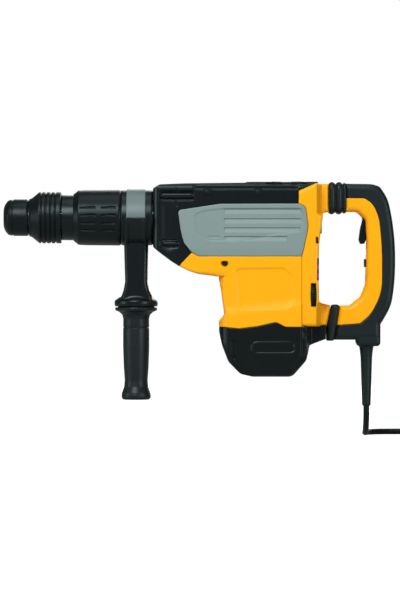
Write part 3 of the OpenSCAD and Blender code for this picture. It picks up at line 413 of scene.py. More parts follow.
@dataclass(frozen=True)
class Form:
    """A solid, given by its signed distance in tool millimetres, negative inside."""

    reach: Callable[[Array, Array, Array], Array]

    def __call__(self, x: Array, y: Array, z: Array) -> Array:
        """The signed distance at each point."""
        return self.reach(x, y, z)

    def join(self, other: "Form", soft: float = 0.0) -> "Form":
        """Both solids as one, with a fillet."""
        return Form(lambda x, y, z: soft_min(self(x, y, z), other(x, y, z), soft))

    def cut(self, other: "Form", soft: float = 0.0) -> "Form":
        """This solid less the other, with a softened edge."""
        return Form(lambda x, y, z: -soft_min(-self(x, y, z), other(x, y, z), soft))

    def keep(self, other: "Form", soft: float = 0.0) -> "Form":
        """What both solids share, with a softened edge."""
        return Form(lambda x, y, z: -soft_min(-self(x, y, z), -other(x, y, z), soft))

    def both_sides(self) -> "Form":
        """The form on +Y, and its mirror image on -Y."""
        return Form(lambda x, y, z: self(x, np.abs(y), z))


# The corner radius that asks for the roundest corner that fits
FULL = 1e6


def rounded(points: list[tuple[float, ...]], steps: int = 4) -> Array:
    """An outline with its corners rounded.

    Args:
        points: (u, v, corner radius), in order round the outline. FULL is the roundest that fits.
        steps: chords in each rounded corner.

    Returns:
        The outline's points.
    """
    found: list[Array] = []
    for i, (u, v, r) in enumerate(points):
        p = np.array([u, v], float)
        if r <= 0:
            found.append(p)
            continue
        a = np.array(points[i - 1][:2], float) - p
        b = np.array(points[(i + 1) % len(points)][:2], float) - p
        room = min(np.linalg.norm(a), np.linalg.norm(b)) / 2
        a, b = a / np.linalg.norm(a), b / np.linalg.norm(b)
        half = math.acos(float(np.clip(a @ b, -1, 1))) / 2
        if r == FULL:
            r = room * math.tan(half)
        centre = p + (a + b) / np.linalg.norm(a + b) * r / math.sin(half)
        s, e = p + a * r / math.tan(half) - centre, p + b * r / math.tan(half) - centre
        start = math.atan2(s[1], s[0])
        sweep = (math.atan2(e[1], e[0]) - start + 3 * math.pi) % (2 * math.pi) - math.pi
        turns = [start + sweep * k / steps for k in range(steps + 1)]
        found += [centre + r * np.array([math.cos(t), math.sin(t)]) for t in turns]
    return np.array(found)


class Outline:
    """A closed outline, which gives the signed distance of points in its plane."""

    def __init__(self, points: list[tuple[float, ...]], steps: int = 4) -> None:
        """Rounds the corners of the (u, v, radius) points."""
        self.points = rounded(points, steps)

    def __call__(self, u: Array, v: Array) -> Array:
        """Signed distance from the outline, negative inside."""
        u, v = np.broadcast_arrays(np.asarray(u, float), np.asarray(v, float))
        nearest = np.full(u.shape, np.inf)
        inside = np.zeros(u.shape, bool)
        for (au, av), (bu, bv) in zip(self.points, np.roll(self.points, -1, axis=0)):
            du, dv = bu - au, bv - av
            size = du * du + dv * dv
            if size < 1e-12:
                continue
            pu, pv = u - au, v - av
            t = np.clip((pu * du + pv * dv) / size, 0, 1)
            nearest = np.minimum(nearest, (pu - t * du) ** 2 + (pv - t * dv) ** 2)
            crosses = (av > v) != (bv > v)
            if dv != 0:
                inside ^= crosses & (u < au + (v - av) * du / dv)
        return np.where(inside, -1.0, 1.0) * np.sqrt(nearest)


def pill(u0: float, v0: float, u1: float, v1: float, r: float) -> Outline:
    """A rectangle with rounded corners."""
    return Outline([(u0, v0, r), (u1, v0, r), (u1, v1, r), (u0, v1, r)])


def edged(flat: Array, side: Array, edge: float) -> Array:
    """The distance to an extrusion with rounded edges.

    Args:
        flat: distance from its outline.
        side: distance past its ends.
        edge: radius of the edges.

    Returns:
        The signed distance.
    """
    flat, side = flat + edge, side + edge
    return np.minimum(np.maximum(flat, side), 0) + np.hypot(np.maximum(flat, 0), np.maximum(side, 0)) - edge


def across(outline: Outline, half: Half, edge: float) -> Form:
    """An outline in X and Z, extruded to both sides of the middle plane.

    Args:
        outline: the side view.
        half: half width, or a function of X and Z that gives it.
        edge: radius of the edges.

    Returns:
        The form.
    """
    return Form(
        lambda x, y, z: edged(outline(x, z), np.abs(y) - (half(x, z) if callable(half) else half), edge)
    )


def along(outline: Outline, x0: float, x1: float, edge: float = 0.01) -> Form:
    """An outline in Y and Z, extruded along the tool."""
    return Form(
        lambda x, y, z: edged(outline(y, z), np.abs(x - (x0 + x1) / 2) - (x1 - x0) / 2, edge)
    )


def upright(outline: Outline, z0: float, z1: float, edge: float = 0.01) -> Form:
    """An outline in X and Y, extruded upwards."""
    return Form(
        lambda x, y, z: edged(outline(x, y), np.abs(z - (z0 + z1) / 2) - (z1 - z0) / 2, edge)
    )


def turned(outline: Outline) -> Form:
    """An outline in X and radius, turned about the spindle axis."""
    return Form(lambda x, y, z: outline(x, np.hypot(y, z)))


def box(low: tuple[float, ...], high: tuple[float, ...], r: float = 0.01) -> Form:
    """A box with rounded edges."""
    c = [(a + b) / 2 for a, b in zip(low, high)]
    h = [(b - a) / 2 - r for a, b in zip(low, high)]

    def reach(x: Array, y: Array, z: Array) -> Array:
        """Distance to the box."""
        q = [np.abs(v - m) - w for v, m, w in zip((x, y, z), c, h)]
        out = np.sqrt(sum(np.maximum(v, 0) ** 2 for v in q))
        return out + np.minimum(np.maximum(q[0], np.maximum(q[1], q[2])), 0) - r

    return Form(reach)


def rod(start: tuple[float, ...], end: tuple[float, ...], r: float) -> Form:
    """A round-ended rod between two points."""
    a, d = np.array(start, float), np.array(end, float) - np.array(start, float)

    def reach(x: Array, y: Array, z: Array) -> Array:
        """Distance to the rod."""
        p = (x - a[0], y - a[1], z - a[2])
        t = np.clip((p[0] * d[0] + p[1] * d[1] + p[2] * d[2]) / (d @ d), 0, 1)
        return np.sqrt(sum((v - t * w) ** 2 for v, w in zip(p, d))) - r

    return Form(reach)


def post(x0: float, y0: float, z0: float, z1: float, r: float, edge: float = 0.01) -> Form:
    """An upright cylinder."""
    return Form(
        lambda x, y, z: edged(
            np.hypot(x - x0, y - y0) - r, np.abs(z - (z0 + z1) / 2) - (z1 - z0) / 2, edge
        )
    )


def peg(x0: float, z0: float, y0: float, y1: float, r: float, edge: float = 0.01) -> Form:
    """A cylinder across the tool."""
    return Form(
        lambda x, y, z: edged(
            np.hypot(x - x0, z - z0) - r, np.abs(y - (y0 + y1) / 2) - (y1 - y0) / 2, edge
        )
    )


def sunk(outline: Outline, depth: float, soft: float) -> Callable[[Array, Array], Array]:
    """How deep a recess with sloping walls lies at each X and Z."""
    return lambda x, z: depth * ease(-outline(x, z), -soft / 2, soft / 2)


# ------------------------------------------------------------------ meshes


EDGES = [
    (a, b)
    for a in np.ndindex(2, 2, 2)
    for b in np.ndindex(2, 2, 2)
    if sum(b) == sum(a) + 1 and sum(abs(i - j) for i, j in zip(a, b)) == 1
]


def skin(form: Form, low: Array, high: Array, step: float) -> tuple[Array, Array]:
    """Covers a form with even quads and draws their corners onto its surface.

    Args:
        form: the solid.
        low: lowest corner of its box, in tool millimetres.
        high: highest corner.
        step: size of the quads.

    Returns:
        The vertices in tool millimetres, and the quads.
    """
    axes = [np.arange(a - 1.6 * step, b + 2.6 * step, step) for a, b in zip(low, high)]
    shape = tuple(len(a) for a in axes)
    grid = form(axes[0][:, None, None], axes[1][None, :, None], axes[2][None, None, :])
    grid = np.ascontiguousarray(np.broadcast_to(grid, shape), dtype=np.float32)
    inside = grid < 0
    cells = tuple(n - 1 for n in shape)
    count = np.zeros(cells, np.int8)
    for a in np.ndindex(2, 2, 2):
        count += inside[tuple(slice(s, s + n) for s, n in zip(a, cells))]
    active = np.argwhere((count > 0) & (count < 8))
    number = np.full(cells, -1, np.int64)
    number[tuple(active.T)] = np.arange(len(active))
    total, hits = np.zeros((len(active), 3)), np.zeros(len(active))
    for a, b in EDGES:
        va, vb = grid[tuple((active + a).T)], grid[tuple((active + b).T)]
        crossing = (va < 0) != (vb < 0)
        t = va[crossing] / (va[crossing] - vb[crossing])
        total[crossing] += np.array(a) + t[:, None] * (np.array(b) - np.array(a))
        hits[crossing] += 1
    points = (active + total / hits[:, None]) * step + [a[0] for a in axes]
    for _ in range(3):
        points = drawn_on(form, points, step)
    quads = []
    for axis in range(3):
        u, v = (axis + 1) % 3, (axis + 2) % 3
        here = [slice(1, n - 1) for n in shape]
        here[axis] = slice(0, shape[axis] - 1)
        there = list(here)
        there[axis] = slice(1, shape[axis])
        first, second = inside[tuple(here)], inside[tuple(there)]
        at = np.argwhere(first != second) + [s.start for s in here]
        back_u, back_v = np.eye(3, dtype=int)[u], np.eye(3, dtype=int)[v]
        ring = [number[tuple(c.T)] for c in (at, at - back_u, at - back_u - back_v, at - back_v)]
        quad = np.stack(ring, axis=1)
        outward = first[tuple((at - [s.start for s in here]).T)]
        quads.append(np.where(outward[:, None], quad, quad[:, ::-1]))
    return points, np.concatenate(quads)


def drawn_on(form: Form, points: Array, step: float) -> Array:
    """Moves points along the form's slope onto its surface."""
    tiny = 0.08
    x, y, z = points.T
    here = form(x, y, z)
    slope = np.stack(
        [
            form(x + tiny, y, z) - form(x - tiny, y, z),
            form(x, y + tiny, z) - form(x, y - tiny, z),
            form(x, y, z + tiny) - form(x, y, z - tiny),
        ],
        axis=1,
    ) / (2 * tiny)
    size = np.maximum((slope**2).sum(axis=1), 0.2)
    move = np.clip(here / size, -0.5 * step, 0.5 * step)
    return points - slope * move[:, None]


def mesh_object(
    name: str, points: Array, faces: list | Array, finish: str, crease: float = 0.0
) -> bpy.types.Object:
    """A smooth-shaded object in the row frame.

    Args:
        name: the piece's name.
        points: vertices in tool millimetres.
        faces: vertex numbers of each face.
        finish: a key of FINISHES.
        crease: angle in degrees past which an edge shades sharp, or 0.

    Returns:
        The object.
    """
    mesh = bpy.data.meshes.new(name)
    mesh.from_pydata(TOOL.metres(points).tolist(), [], [list(map(int, f)) for f in faces])
    mesh.validate()
    mesh.shade_smooth()
    if crease:
        mesh.set_sharp_from_angle(angle=math.radians(crease))
    mesh.materials.append(PAINT(finish))
    made = bpy.data.objects.new(name, mesh)
    bpy.context.scene.collection.objects.link(made)
    return made


def settle(piece: bpy.types.Object, body: str, finish: str, *nodes: str) -> bpy.types.Object:
    """Makes a finished piece ride its body, in place of its CAD nodes.

    Args:
        piece: the piece.
        body: the CAD body that it moves with.
        finish: a key of FINISHES; not used.
        nodes: CAD nodes that it stands for.

    Returns:
        The piece.
    """
    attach(piece, body)
    if nodes:
        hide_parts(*nodes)
    LOG.info("%s rides %s", piece.name, body)
    return piece


def settle_between(
    piece: bpy.types.Object, bodies: tuple[str, str], x0: float, x1: float, finish: str, *nodes: str
) -> bpy.types.Object:
    """Makes a piece give way between two bodies, in place of its CAD nodes.

    Args:
        piece: the piece.
        bodies: the body at its front and the body at its back.
        x0: tool X where it leaves the front body.
        x1: tool X where it meets the back body.
        finish: a key of FINISHES; not used.
        nodes: CAD nodes that it stands for.

    Returns:
        The piece.
    """
    ends = [tuple(TOOL.metres(np.array([x, 0, 0]))) for x in (x0, x1)]
    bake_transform(piece)
    if nodes:
        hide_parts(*nodes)
    LOG.info("%s gives way between %s and %s", piece.name, *bodies)
    return piece


def coiled(
    x0: float, x1: float, middle: tuple[float, float], r: float, wire: float, turns: float
) -> tuple[Array, list]:
    """A coil spring along the tool.

    Args:
        x0: its front end.
        x1: its back end.
        middle: Y and Z of its axis.
        r: radius of the coil's centre line.
        wire: radius of the wire.
        turns: number of turns.

    Returns:
        Vertices in tool millimetres, and faces.
    """
    sides, steps = 8, round(turns * 28)
    points = []
    for i in range(steps + 1):
        t = i / steps
        a = 2 * math.pi * turns * t
        x = x0 + wire + (x1 - x0 - 2 * wire) * t
        for k in range(sides):
            b = 2 * math.pi * k / sides
            q = r + wire * math.cos(b)
            points.append((x + wire * math.sin(b), middle[0] + q * math.cos(a), middle[1] + q * math.sin(a)))
    faces = [[i * sides + k, i * sides + (k + 1) % sides, (i + 1) * sides + (k + 1) % sides, (i + 1) * sides + k]
             for i in range(steps) for k in range(sides)]
    faces += [list(range(sides))[::-1], list(range(steps * sides, (steps + 1) * sides))]
    return np.array(points), faces


def mould(
    name: str,
    form: Form,
    low: tuple[float, ...],
    high: tuple[float, ...],
    finish: str,
    body: str,
    *nodes: str,
    step: float = 1.2,
) -> bpy.types.Object:
    """Makes a form into a finished piece.

    Args:
        name: the piece's name.
        form: its solid.
        low: lowest corner of the room that it takes, in tool millimetres.
        high: highest corner.
        finish: a key of FINISHES.
        body: the CAD body that it rides.
        nodes: CAD nodes that it stands for.
        step: size of its quads.

    Returns:
        The piece.
    """
    points, quads = skin(form, np.array(low, float), np.array(high, float), step * COARSE)
    return settle(mesh_object(name, points, quads, finish), body, finish, *nodes)


def lathe(
    profile: list[tuple[float, float]], sides: int, upright_at: tuple[float, float] | None = None
) -> tuple[Array, list]:
    """Turns a closed profile about the spindle axis, or about an upright axis.

    Args:
        profile: (place along the axis, radius) round the profile; radius 0 closes on the axis.
        sides: how many steps the turn takes.
        upright_at: X and Y of the upright axis, or None for the spindle axis.

    Returns:
        Vertices in tool millimetres, and faces that point outwards.
    """
    rows: list[list[int]] = []
    points: list[tuple[float, float, float]] = []
    for place, radius in profile:
        row = []
        for k in range(1 if radius <= 1e-9 else sides):
            a = 2 * math.pi * k / sides
            c, s = radius * math.cos(a), radius * math.sin(a)
            row.append(len(points))
            points.append(
                (place, c, s) if upright_at is None else (upright_at[0] + c, upright_at[1] + s, place)
            )
        rows.append(row)
    faces = []
    for low, high in zip(rows, rows[1:] + rows[:1]):
        if len(low) == 1 and len(high) == 1:
            continue
        for k in range(sides):
            n = (k + 1) % sides
            corners = [low[k % len(low)], low[n % len(low)], high[n % len(high)], high[k % len(high)]]
            faces.append(list(dict.fromkeys(corners)))
    return np.array(points), faces


def lathed(
    name: str,
    profile: list[tuple[float, float]],
    finish: str,
    body: str,
    *nodes: str,
    sides: int = 96,
    upright_at: tuple[float, float] | None = None,
) -> bpy.types.Object:
    """A turned piece with outward faces, ready on its body.

    Args:
        name: the piece's name.
        profile: (place along the axis, radius) round the profile.
        finish: a key of FINISHES.
        body: the CAD body that it rides.
        nodes: CAD nodes that it stands for.
        sides: how many steps the turn takes.
        upright_at: X and Y of an upright axis, or None for the spindle axis.

    Returns:
        The piece.
    """
    points, faces = lathe(profile, sides, upright_at)
    piece = mesh_object(name, points, faces, finish)
    outward(piece)
    piece.data.set_sharp_from_angle(angle=math.radians(42))
    return settle(piece, body, finish, *nodes)


def outward(piece: bpy.types.Object) -> None:
    """Turns a closed mesh's faces outwards."""
    work = bmesh.new()
    work.from_mesh(piece.data)
    bmesh.ops.remove_doubles(work, verts=work.verts, dist=1e-7)
    bmesh.ops.recalc_face_normals(work, faces=work.faces)
    work.to_mesh(piece.data)
    work.free()


def soft_profile(points: list[tuple[float, float, float]], steps: int = 5) -> list[tuple[float, float]]:
    """A turned profile with its corners rounded, from (place, radius, corner radius)."""
    return [(float(a), float(max(b, 0.0))) for a, b in rounded(points, steps)]


# ------------------------------------------------------------------ repeated parts


class Repeats:
    """Geometry Nodes trees that set out repeated parts."""

    def __init__(self) -> None:
        """Builds the trees."""
        self.row = self.row_tree()
        self.ring = self.ring_tree()
        self.seats = self.seats_tree()
        self.ribs = self.ribs_tree()

    @staticmethod
    def tree(
        name: str, inputs: dict[str, str]
    ) -> tuple[bpy.types.GeometryNodeTree, dict[str, bpy.types.NodeSocket]]:
        """A new tree with a geometry input and output, and named inputs.

        Args:
            name: the tree's name.
            inputs: socket types by name.

        Returns:
            The tree, and its input sockets by name.
        """
        made = bpy.data.node_groups.new(name, "GeometryNodeTree")
        made.interface.new_socket("Geometry", in_out="INPUT", socket_type="NodeSocketGeometry")
        for socket, kind in inputs.items():
            made.interface.new_socket(socket, in_out="INPUT", socket_type=f"NodeSocket{kind}")
        made.interface.new_socket("Geometry", in_out="OUTPUT", socket_type="NodeSocketGeometry")
        start = made.nodes.new("NodeGroupInput")
        return made, {s.name: s for s in start.outputs if s.name}

    @staticmethod
    def close(
        tree: bpy.types.GeometryNodeTree, result: bpy.types.NodeSocket, finish: bpy.types.NodeSocket
    ) -> None:
        """Ends a tree in Realize Instances and Set Material."""
        real = tree.nodes.new("GeometryNodeRealizeInstances")
        dress = tree.nodes.new("GeometryNodeSetMaterial")
        out = tree.nodes.new("NodeGroupOutput")
        tree.links.new(result, real.inputs[0])
        tree.links.new(real.outputs[0], dress.inputs["Geometry"])
        tree.links.new(finish, dress.inputs["Material"])
        tree.links.new(dress.outputs[0], out.inputs[0])

    @staticmethod
    def placed(
        tree: bpy.types.GeometryNodeTree, points: bpy.types.NodeSocket, part: bpy.types.NodeSocket
    ) -> bpy.types.Node:
        """Instances of the part on the points."""
        info = tree.nodes.new("GeometryNodeObjectInfo")
        copy = tree.nodes.new("GeometryNodeInstanceOnPoints")
        tree.links.new(part, info.inputs["Object"])
        tree.links.new(points, copy.inputs["Points"])
        tree.links.new(info.outputs["Geometry"], copy.inputs["Instance"])
        return copy

    def row_tree(self) -> bpy.types.GeometryNodeTree:
        """Parts in a straight row."""
        tree, ask = self.tree(
            "row_of_parts",
            {"Part": "Object", "Count": "Int", "First": "Vector", "Step": "Vector", "Finish": "Material"},
        )
        line = tree.nodes.new("GeometryNodeMeshLine")
        for name, socket in (("Count", "Count"), ("First", "Start Location"), ("Step", "Offset")):
            tree.links.new(ask[name], line.inputs[socket])
        copy = self.placed(tree, line.outputs[0], ask["Part"])
        self.close(tree, copy.outputs[0], ask["Finish"])
        return tree

    def ring_tree(self) -> bpy.types.GeometryNodeTree:
        """Parts in a ring about Z, their X outwards, which Turn then turns."""
        tree, ask = self.tree(
            "ring_of_parts",
            {
                "Part": "Object", "Count": "Int", "Radius": "Float", "Centre": "Vector",
                "Turn": "Rotation", "Finish": "Material",
            },
        )
        circle = tree.nodes.new("GeometryNodeMeshCircle")
        tree.links.new(ask["Count"], circle.inputs["Vertices"])
        tree.links.new(ask["Radius"], circle.inputs["Radius"])
        copy = self.placed(tree, circle.outputs[0], ask["Part"])
        place = tree.nodes.new("GeometryNodeInputPosition")
        align = tree.nodes.new("FunctionNodeAlignRotationToVector")
        align.axis = "X"
        tree.links.new(place.outputs[0], align.inputs["Vector"])
        tree.links.new(align.outputs[0], copy.inputs["Rotation"])
        move = tree.nodes.new("GeometryNodeTransform")
        tree.links.new(copy.outputs[0], move.inputs["Geometry"])
        tree.links.new(ask["Centre"], move.inputs["Translation"])
        tree.links.new(ask["Turn"], move.inputs["Rotation"])
        self.close(tree, move.outputs[0], ask["Finish"])
        return tree

    def seats_tree(self) -> bpy.types.GeometryNodeTree:
        """Parts on the vertices of a mesh, their Z along its "facing" attribute."""
        tree, ask = self.tree("parts_on_seats", {"Part": "Object", "Finish": "Material"})
        copy = self.placed(tree, ask["Geometry"], ask["Part"])
        facing = tree.nodes.new("GeometryNodeInputNamedAttribute")
        facing.data_type = "FLOAT_VECTOR"
        facing.inputs["Name"].default_value = "facing"
        align = tree.nodes.new("FunctionNodeAlignRotationToVector")
        align.axis = "Z"
        tree.links.new(facing.outputs["Attribute"], align.inputs["Vector"])
        tree.links.new(align.outputs[0], copy.inputs["Rotation"])
        self.close(tree, copy.outputs[0], ask["Finish"])
        return tree

    def ribs_tree(self) -> bpy.types.GeometryNodeTree:
        """Swells a tube along X into round ribs between Start and End."""
        tree, ask = self.tree(
            "round_ribs",
            {"Start": "Float", "End": "Float", "Count": "Float", "Height": "Float", "Finish": "Material"},
        )

        def maths(kind: str, *values: bpy.types.NodeSocket | float) -> bpy.types.NodeSocket:
            """One maths node on sockets or numbers."""
            node = tree.nodes.new("ShaderNodeMath")
            node.operation = kind
            for i, value in enumerate(values):
                if isinstance(value, (int, float)):
                    node.inputs[i].default_value = value
                else:
                    tree.links.new(value, node.inputs[i])
            return node.outputs[0]

        place = tree.nodes.new("GeometryNodeInputPosition")
        apart = tree.nodes.new("ShaderNodeSeparateXYZ")
        tree.links.new(place.outputs[0], apart.inputs[0])
        share = maths("DIVIDE", maths("SUBTRACT", apart.outputs["X"], ask["Start"]),
                      maths("SUBTRACT", ask["End"], ask["Start"]))
        wave = maths(
            "ABSOLUTE", maths("SINE", maths("MULTIPLY", maths("MULTIPLY", share, ask["Count"]), math.pi)),
        )
        swell = maths("MULTIPLY", maths("POWER", wave, 0.55), ask["Height"])
        normal = tree.nodes.new("GeometryNodeInputNormal")
        push = tree.nodes.new("ShaderNodeVectorMath")
        push.operation = "SCALE"
        tree.links.new(normal.outputs[0], push.inputs[0])
        tree.links.new(swell, push.inputs["Scale"])
        move = tree.nodes.new("GeometryNodeSetPosition")
        tree.links.new(ask["Geometry"], move.inputs["Geometry"])
        tree.links.new(push.outputs[0], move.inputs["Offset"])
        self.close(tree, move.outputs[0], ask["Finish"])
        return tree

    def make(
        self, name: str, tree: bpy.types.GeometryNodeTree, base: bpy.types.Object | None, **inputs: object
    ) -> bpy.types.Object:
        """Runs a tree and keeps its result as a plain mesh object.

        Args:
            name: the piece's name.
            tree: the tree.
            base: the object whose geometry it takes in, or None.
            inputs: values by input name, with spaces as underscores.

        Returns:
            The finished object.
        """
        if base is None:
            base = bpy.data.objects.new("seed", bpy.data.meshes.new("seed"))
            bpy.context.scene.collection.objects.link(base)
        run = base.modifiers.new("repeat", "NODES")
        run.node_group = tree
        idents = {s.name: s.identifier for s in tree.interface.items_tree if s.in_out == "INPUT"}
        for key, value in inputs.items():
            run[idents[key.replace("_", " ")]] = value
        base.update_tag()
        deps = bpy.context.evaluated_depsgraph_get()
        mesh = bpy.data.meshes.new_from_object(base.evaluated_get(deps), depsgraph=deps)
        mesh.name = name
        made = bpy.data.objects.new(name, mesh)
        bpy.context.scene.collection.objects.link(made)
        base.modifiers.remove(run)
        part = inputs.get("Part")
        for spent in (base, part):
            if isinstance(spent, bpy.types.Object):
                bpy.data.objects.remove(spent)
        return made

    def seated(
        self, name: str, places: bpy.types.Object, part: bpy.types.Object, finish: str
    ) -> bpy.types.Object:
        """Seats a part at each place on the housing, as one piece."""
        return settle(self.make(name, self.seats, places, Part=part, Finish=PAINT(finish)), "housing", finish)


REPEATS = Repeats()


def loose(name: str, points: Array, faces: list) -> bpy.types.Object:
    """A part about its own origin, given in millimetres, to be repeated."""
    mesh = bpy.data.meshes.new(name)
    mesh.from_pydata((np.asarray(points, float) / 1000).tolist(), [], [list(f) for f in faces])
    made = bpy.data.objects.new(name, mesh)
    bpy.context.scene.collection.objects.link(made)
    outward(made)
    made.data.shade_smooth()
    made.data.set_sharp_from_angle(angle=math.radians(40))
    return made


def bar_part(x: float, y: float, z: float, r: float, segments: int = 2) -> bpy.types.Object:
    """A bar with rounded edges, its size in millimetres."""
    work = bmesh.new()
    bmesh.ops.create_cube(work, size=1.0)
    bmesh.ops.scale(work, verts=work.verts, vec=(x / 1000, y / 1000, z / 1000))
    bmesh.ops.bevel(work, geom=work.edges[:], offset=r / 1000, segments=segments, affect="EDGES", profile=0.5)
    mesh = bpy.data.meshes.new("bar_part")
    work.to_mesh(mesh)
    work.free()
    mesh.shade_smooth()
    made = bpy.data.objects.new("bar_part", mesh)
    bpy.context.scene.collection.objects.link(made)
    return made


def screw_part(r: float, h: float) -> bpy.types.Object:
    """A round screw head with a six-lobed recess, its underside at the origin."""
    sides = 36
    loops = [(0, r, 0), (0.72 * h, r, 0), (h, 0.86 * r, 0), (h, 0.52 * r, 0.16), (0.4 * h, 0.48 * r, 0.16)]
    points: list[tuple[float, float, float]] = []
    for z, radius, lobe in loops:
        for k in range(sides):
            a = 2 * math.pi * k / sides
            s = radius * (1 + lobe * math.cos(6 * a))
            points.append((s * math.cos(a), s * math.sin(a), z))
    faces = [
        [i * sides + k, i * sides + (k + 1) % sides, (i + 1) * sides + (k + 1) % sides, (i + 1) * sides + k]
        for i in range(len(loops) - 1)
        for k in range(sides)
    ]
    last = (len(loops) - 1) * sides
    faces += [list(range(sides))[::-1], list(range(last, last + sides))]
    return loose("screw_part", points, faces)


def seats(places: list[tuple[tuple[float, ...], tuple[float, ...]]]) -> bpy.types.Object:
    """A mesh of loose points at tool places, each with the way that its part faces."""
    mesh = bpy.data.meshes.new("seats")
    mesh.from_pydata(TOOL.metres(np.array([p for p, _ in places])).tolist(), [], [])
    facing = mesh.attributes.new("facing", "FLOAT_VECTOR", "POINT")
    for item, (_, way) in zip(facing.data, places):
        item.vector = way
    made = bpy.data.objects.new("seats", mesh)
    bpy.context.scene.collection.objects.link(made)
    return made


# ------------------------------------------------------------------ studio


@dataclass
class Studio:
    """Camera, lights and floor.

    Attributes:
        aim: the point that the camera faces, back from the nose and up, in tool millimetres.
        distance: from the camera to the tool's middle plane, in metres.
        lens: focal length in millimetres.
    """

    aim: tuple[float, float] = (294.0, -123.45)
    distance: float = 5.0
    lens: float = 200.0

    def camera(self) -> None:
        """Sets the camera square to the tool's side."""
        data = bpy.data.cameras.new("camera")
        data.lens, data.sensor_width = self.lens, 36.0
        data.clip_start, data.clip_end = 0.1, 60
        holder = bpy.data.objects.new("camera", data)
        holder.location = TOOL.metres(np.array([self.aim[0], -self.distance * 1000, self.aim[1]]))
        holder.rotation_euler = (math.pi / 2, 0, 0)
        bpy.context.scene.collection.objects.link(holder)
        bpy.context.scene.camera = holder

    def lights(self) -> None:
        """Hangs the softboxes and sets the pale surroundings."""
        centre = Vector(TOOL.metres(np.array([self.aim[0], 0, self.aim[1]])))
        for name, offset, size, power in (
            ("key_softbox", (-0.7, -2.4, 1.9), 1.4, 72),
            ("fill_softbox", (2.2, -2.1, 0.2), 1.3, 28),
            ("top_softbox", (0.1, -0.2, 2.4), 1.6, 11),
            ("front_softbox", (-2.6, -0.9, 0.2), 1.2, 15),
            ("back_softbox", (0.6, 2.6, 1.0), 2.0, 34),
        ):
            data = bpy.data.lights.new(name, "AREA")
            data.size, data.energy = size, power
            lamp = bpy.data.objects.new(name, data)
            lamp.location = centre + Vector(offset)
            lamp.rotation_euler = (centre - lamp.location).to_track_quat("-Z", "Y").to_euler()
            bpy.context.scene.collection.objects.link(lamp)
        world = bpy.data.worlds.new("pale_room")
        bpy.context.scene.world = world
        world.use_nodes = True
        nodes, links = world.node_tree.nodes, world.node_tree.links
        plain = nodes["Background"]
        plain.inputs["Color"].default_value = (1, 1, 1, 1)
        seen = nodes.new("ShaderNodeLightPath")
        level = nodes.new("ShaderNodeMapRange")
        level.inputs["To Min"].default_value = 0.13
        level.inputs["To Max"].default_value = 1.0
        links.new(seen.outputs["Is Camera Ray"], level.inputs["Value"])
        links.new(level.outputs["Result"], plain.inputs["Strength"])

    def floor(self) -> None:
        """Lays the pale floor under the lowest point of the tool."""
        under = cad_low.z - 0.0004
        mesh = bpy.data.meshes.new("floor")
        reach = 14.0
        corners = [(x, y, under) for x, y in ((-reach, -reach), (reach, -reach), (reach, reach), (-reach, reach))]
        mesh.from_pydata(corners, [], [[0, 1, 2, 3]])
        material = bpy.data.materials.new("pale_floor")
        material.use_nodes = True
        shader = material.node_tree.nodes["Principled BSDF"]
        shader.inputs["Base Color"].default_value = (0.4, 0.4, 0.4, 1)
        shader.inputs["Roughness"].default_value = 0.95
        shader.inputs["Specular IOR Level"].default_value = 0.0
        shader.inputs["Emission Color"].default_value = (1, 1, 1, 1)
        sight = material.node_tree.nodes.new("ShaderNodeLightPath")
        level = material.node_tree.nodes.new("ShaderNodeMapRange")
        level.inputs["To Min"].default_value = 0.08
        level.inputs["To Max"].default_value = 1.0
        material.node_tree.links.new(sight.outputs["Is Camera Ray"], level.inputs["Value"])
        material.node_tree.links.new(level.outputs["Result"], shader.inputs["Emission Strength"])
        mesh.materials.append(material)
        piece = bpy.data.objects.new("floor", mesh)
        bpy.context.scene.collection.objects.link(piece)

    def look(self) -> None:
        """Sets a plain colour response."""
        bpy.context.scene.view_settings.view_transform = "Standard"
        bpy.context.scene.view_settings.look = "None"


# ------------------------------------------------------------------ cord


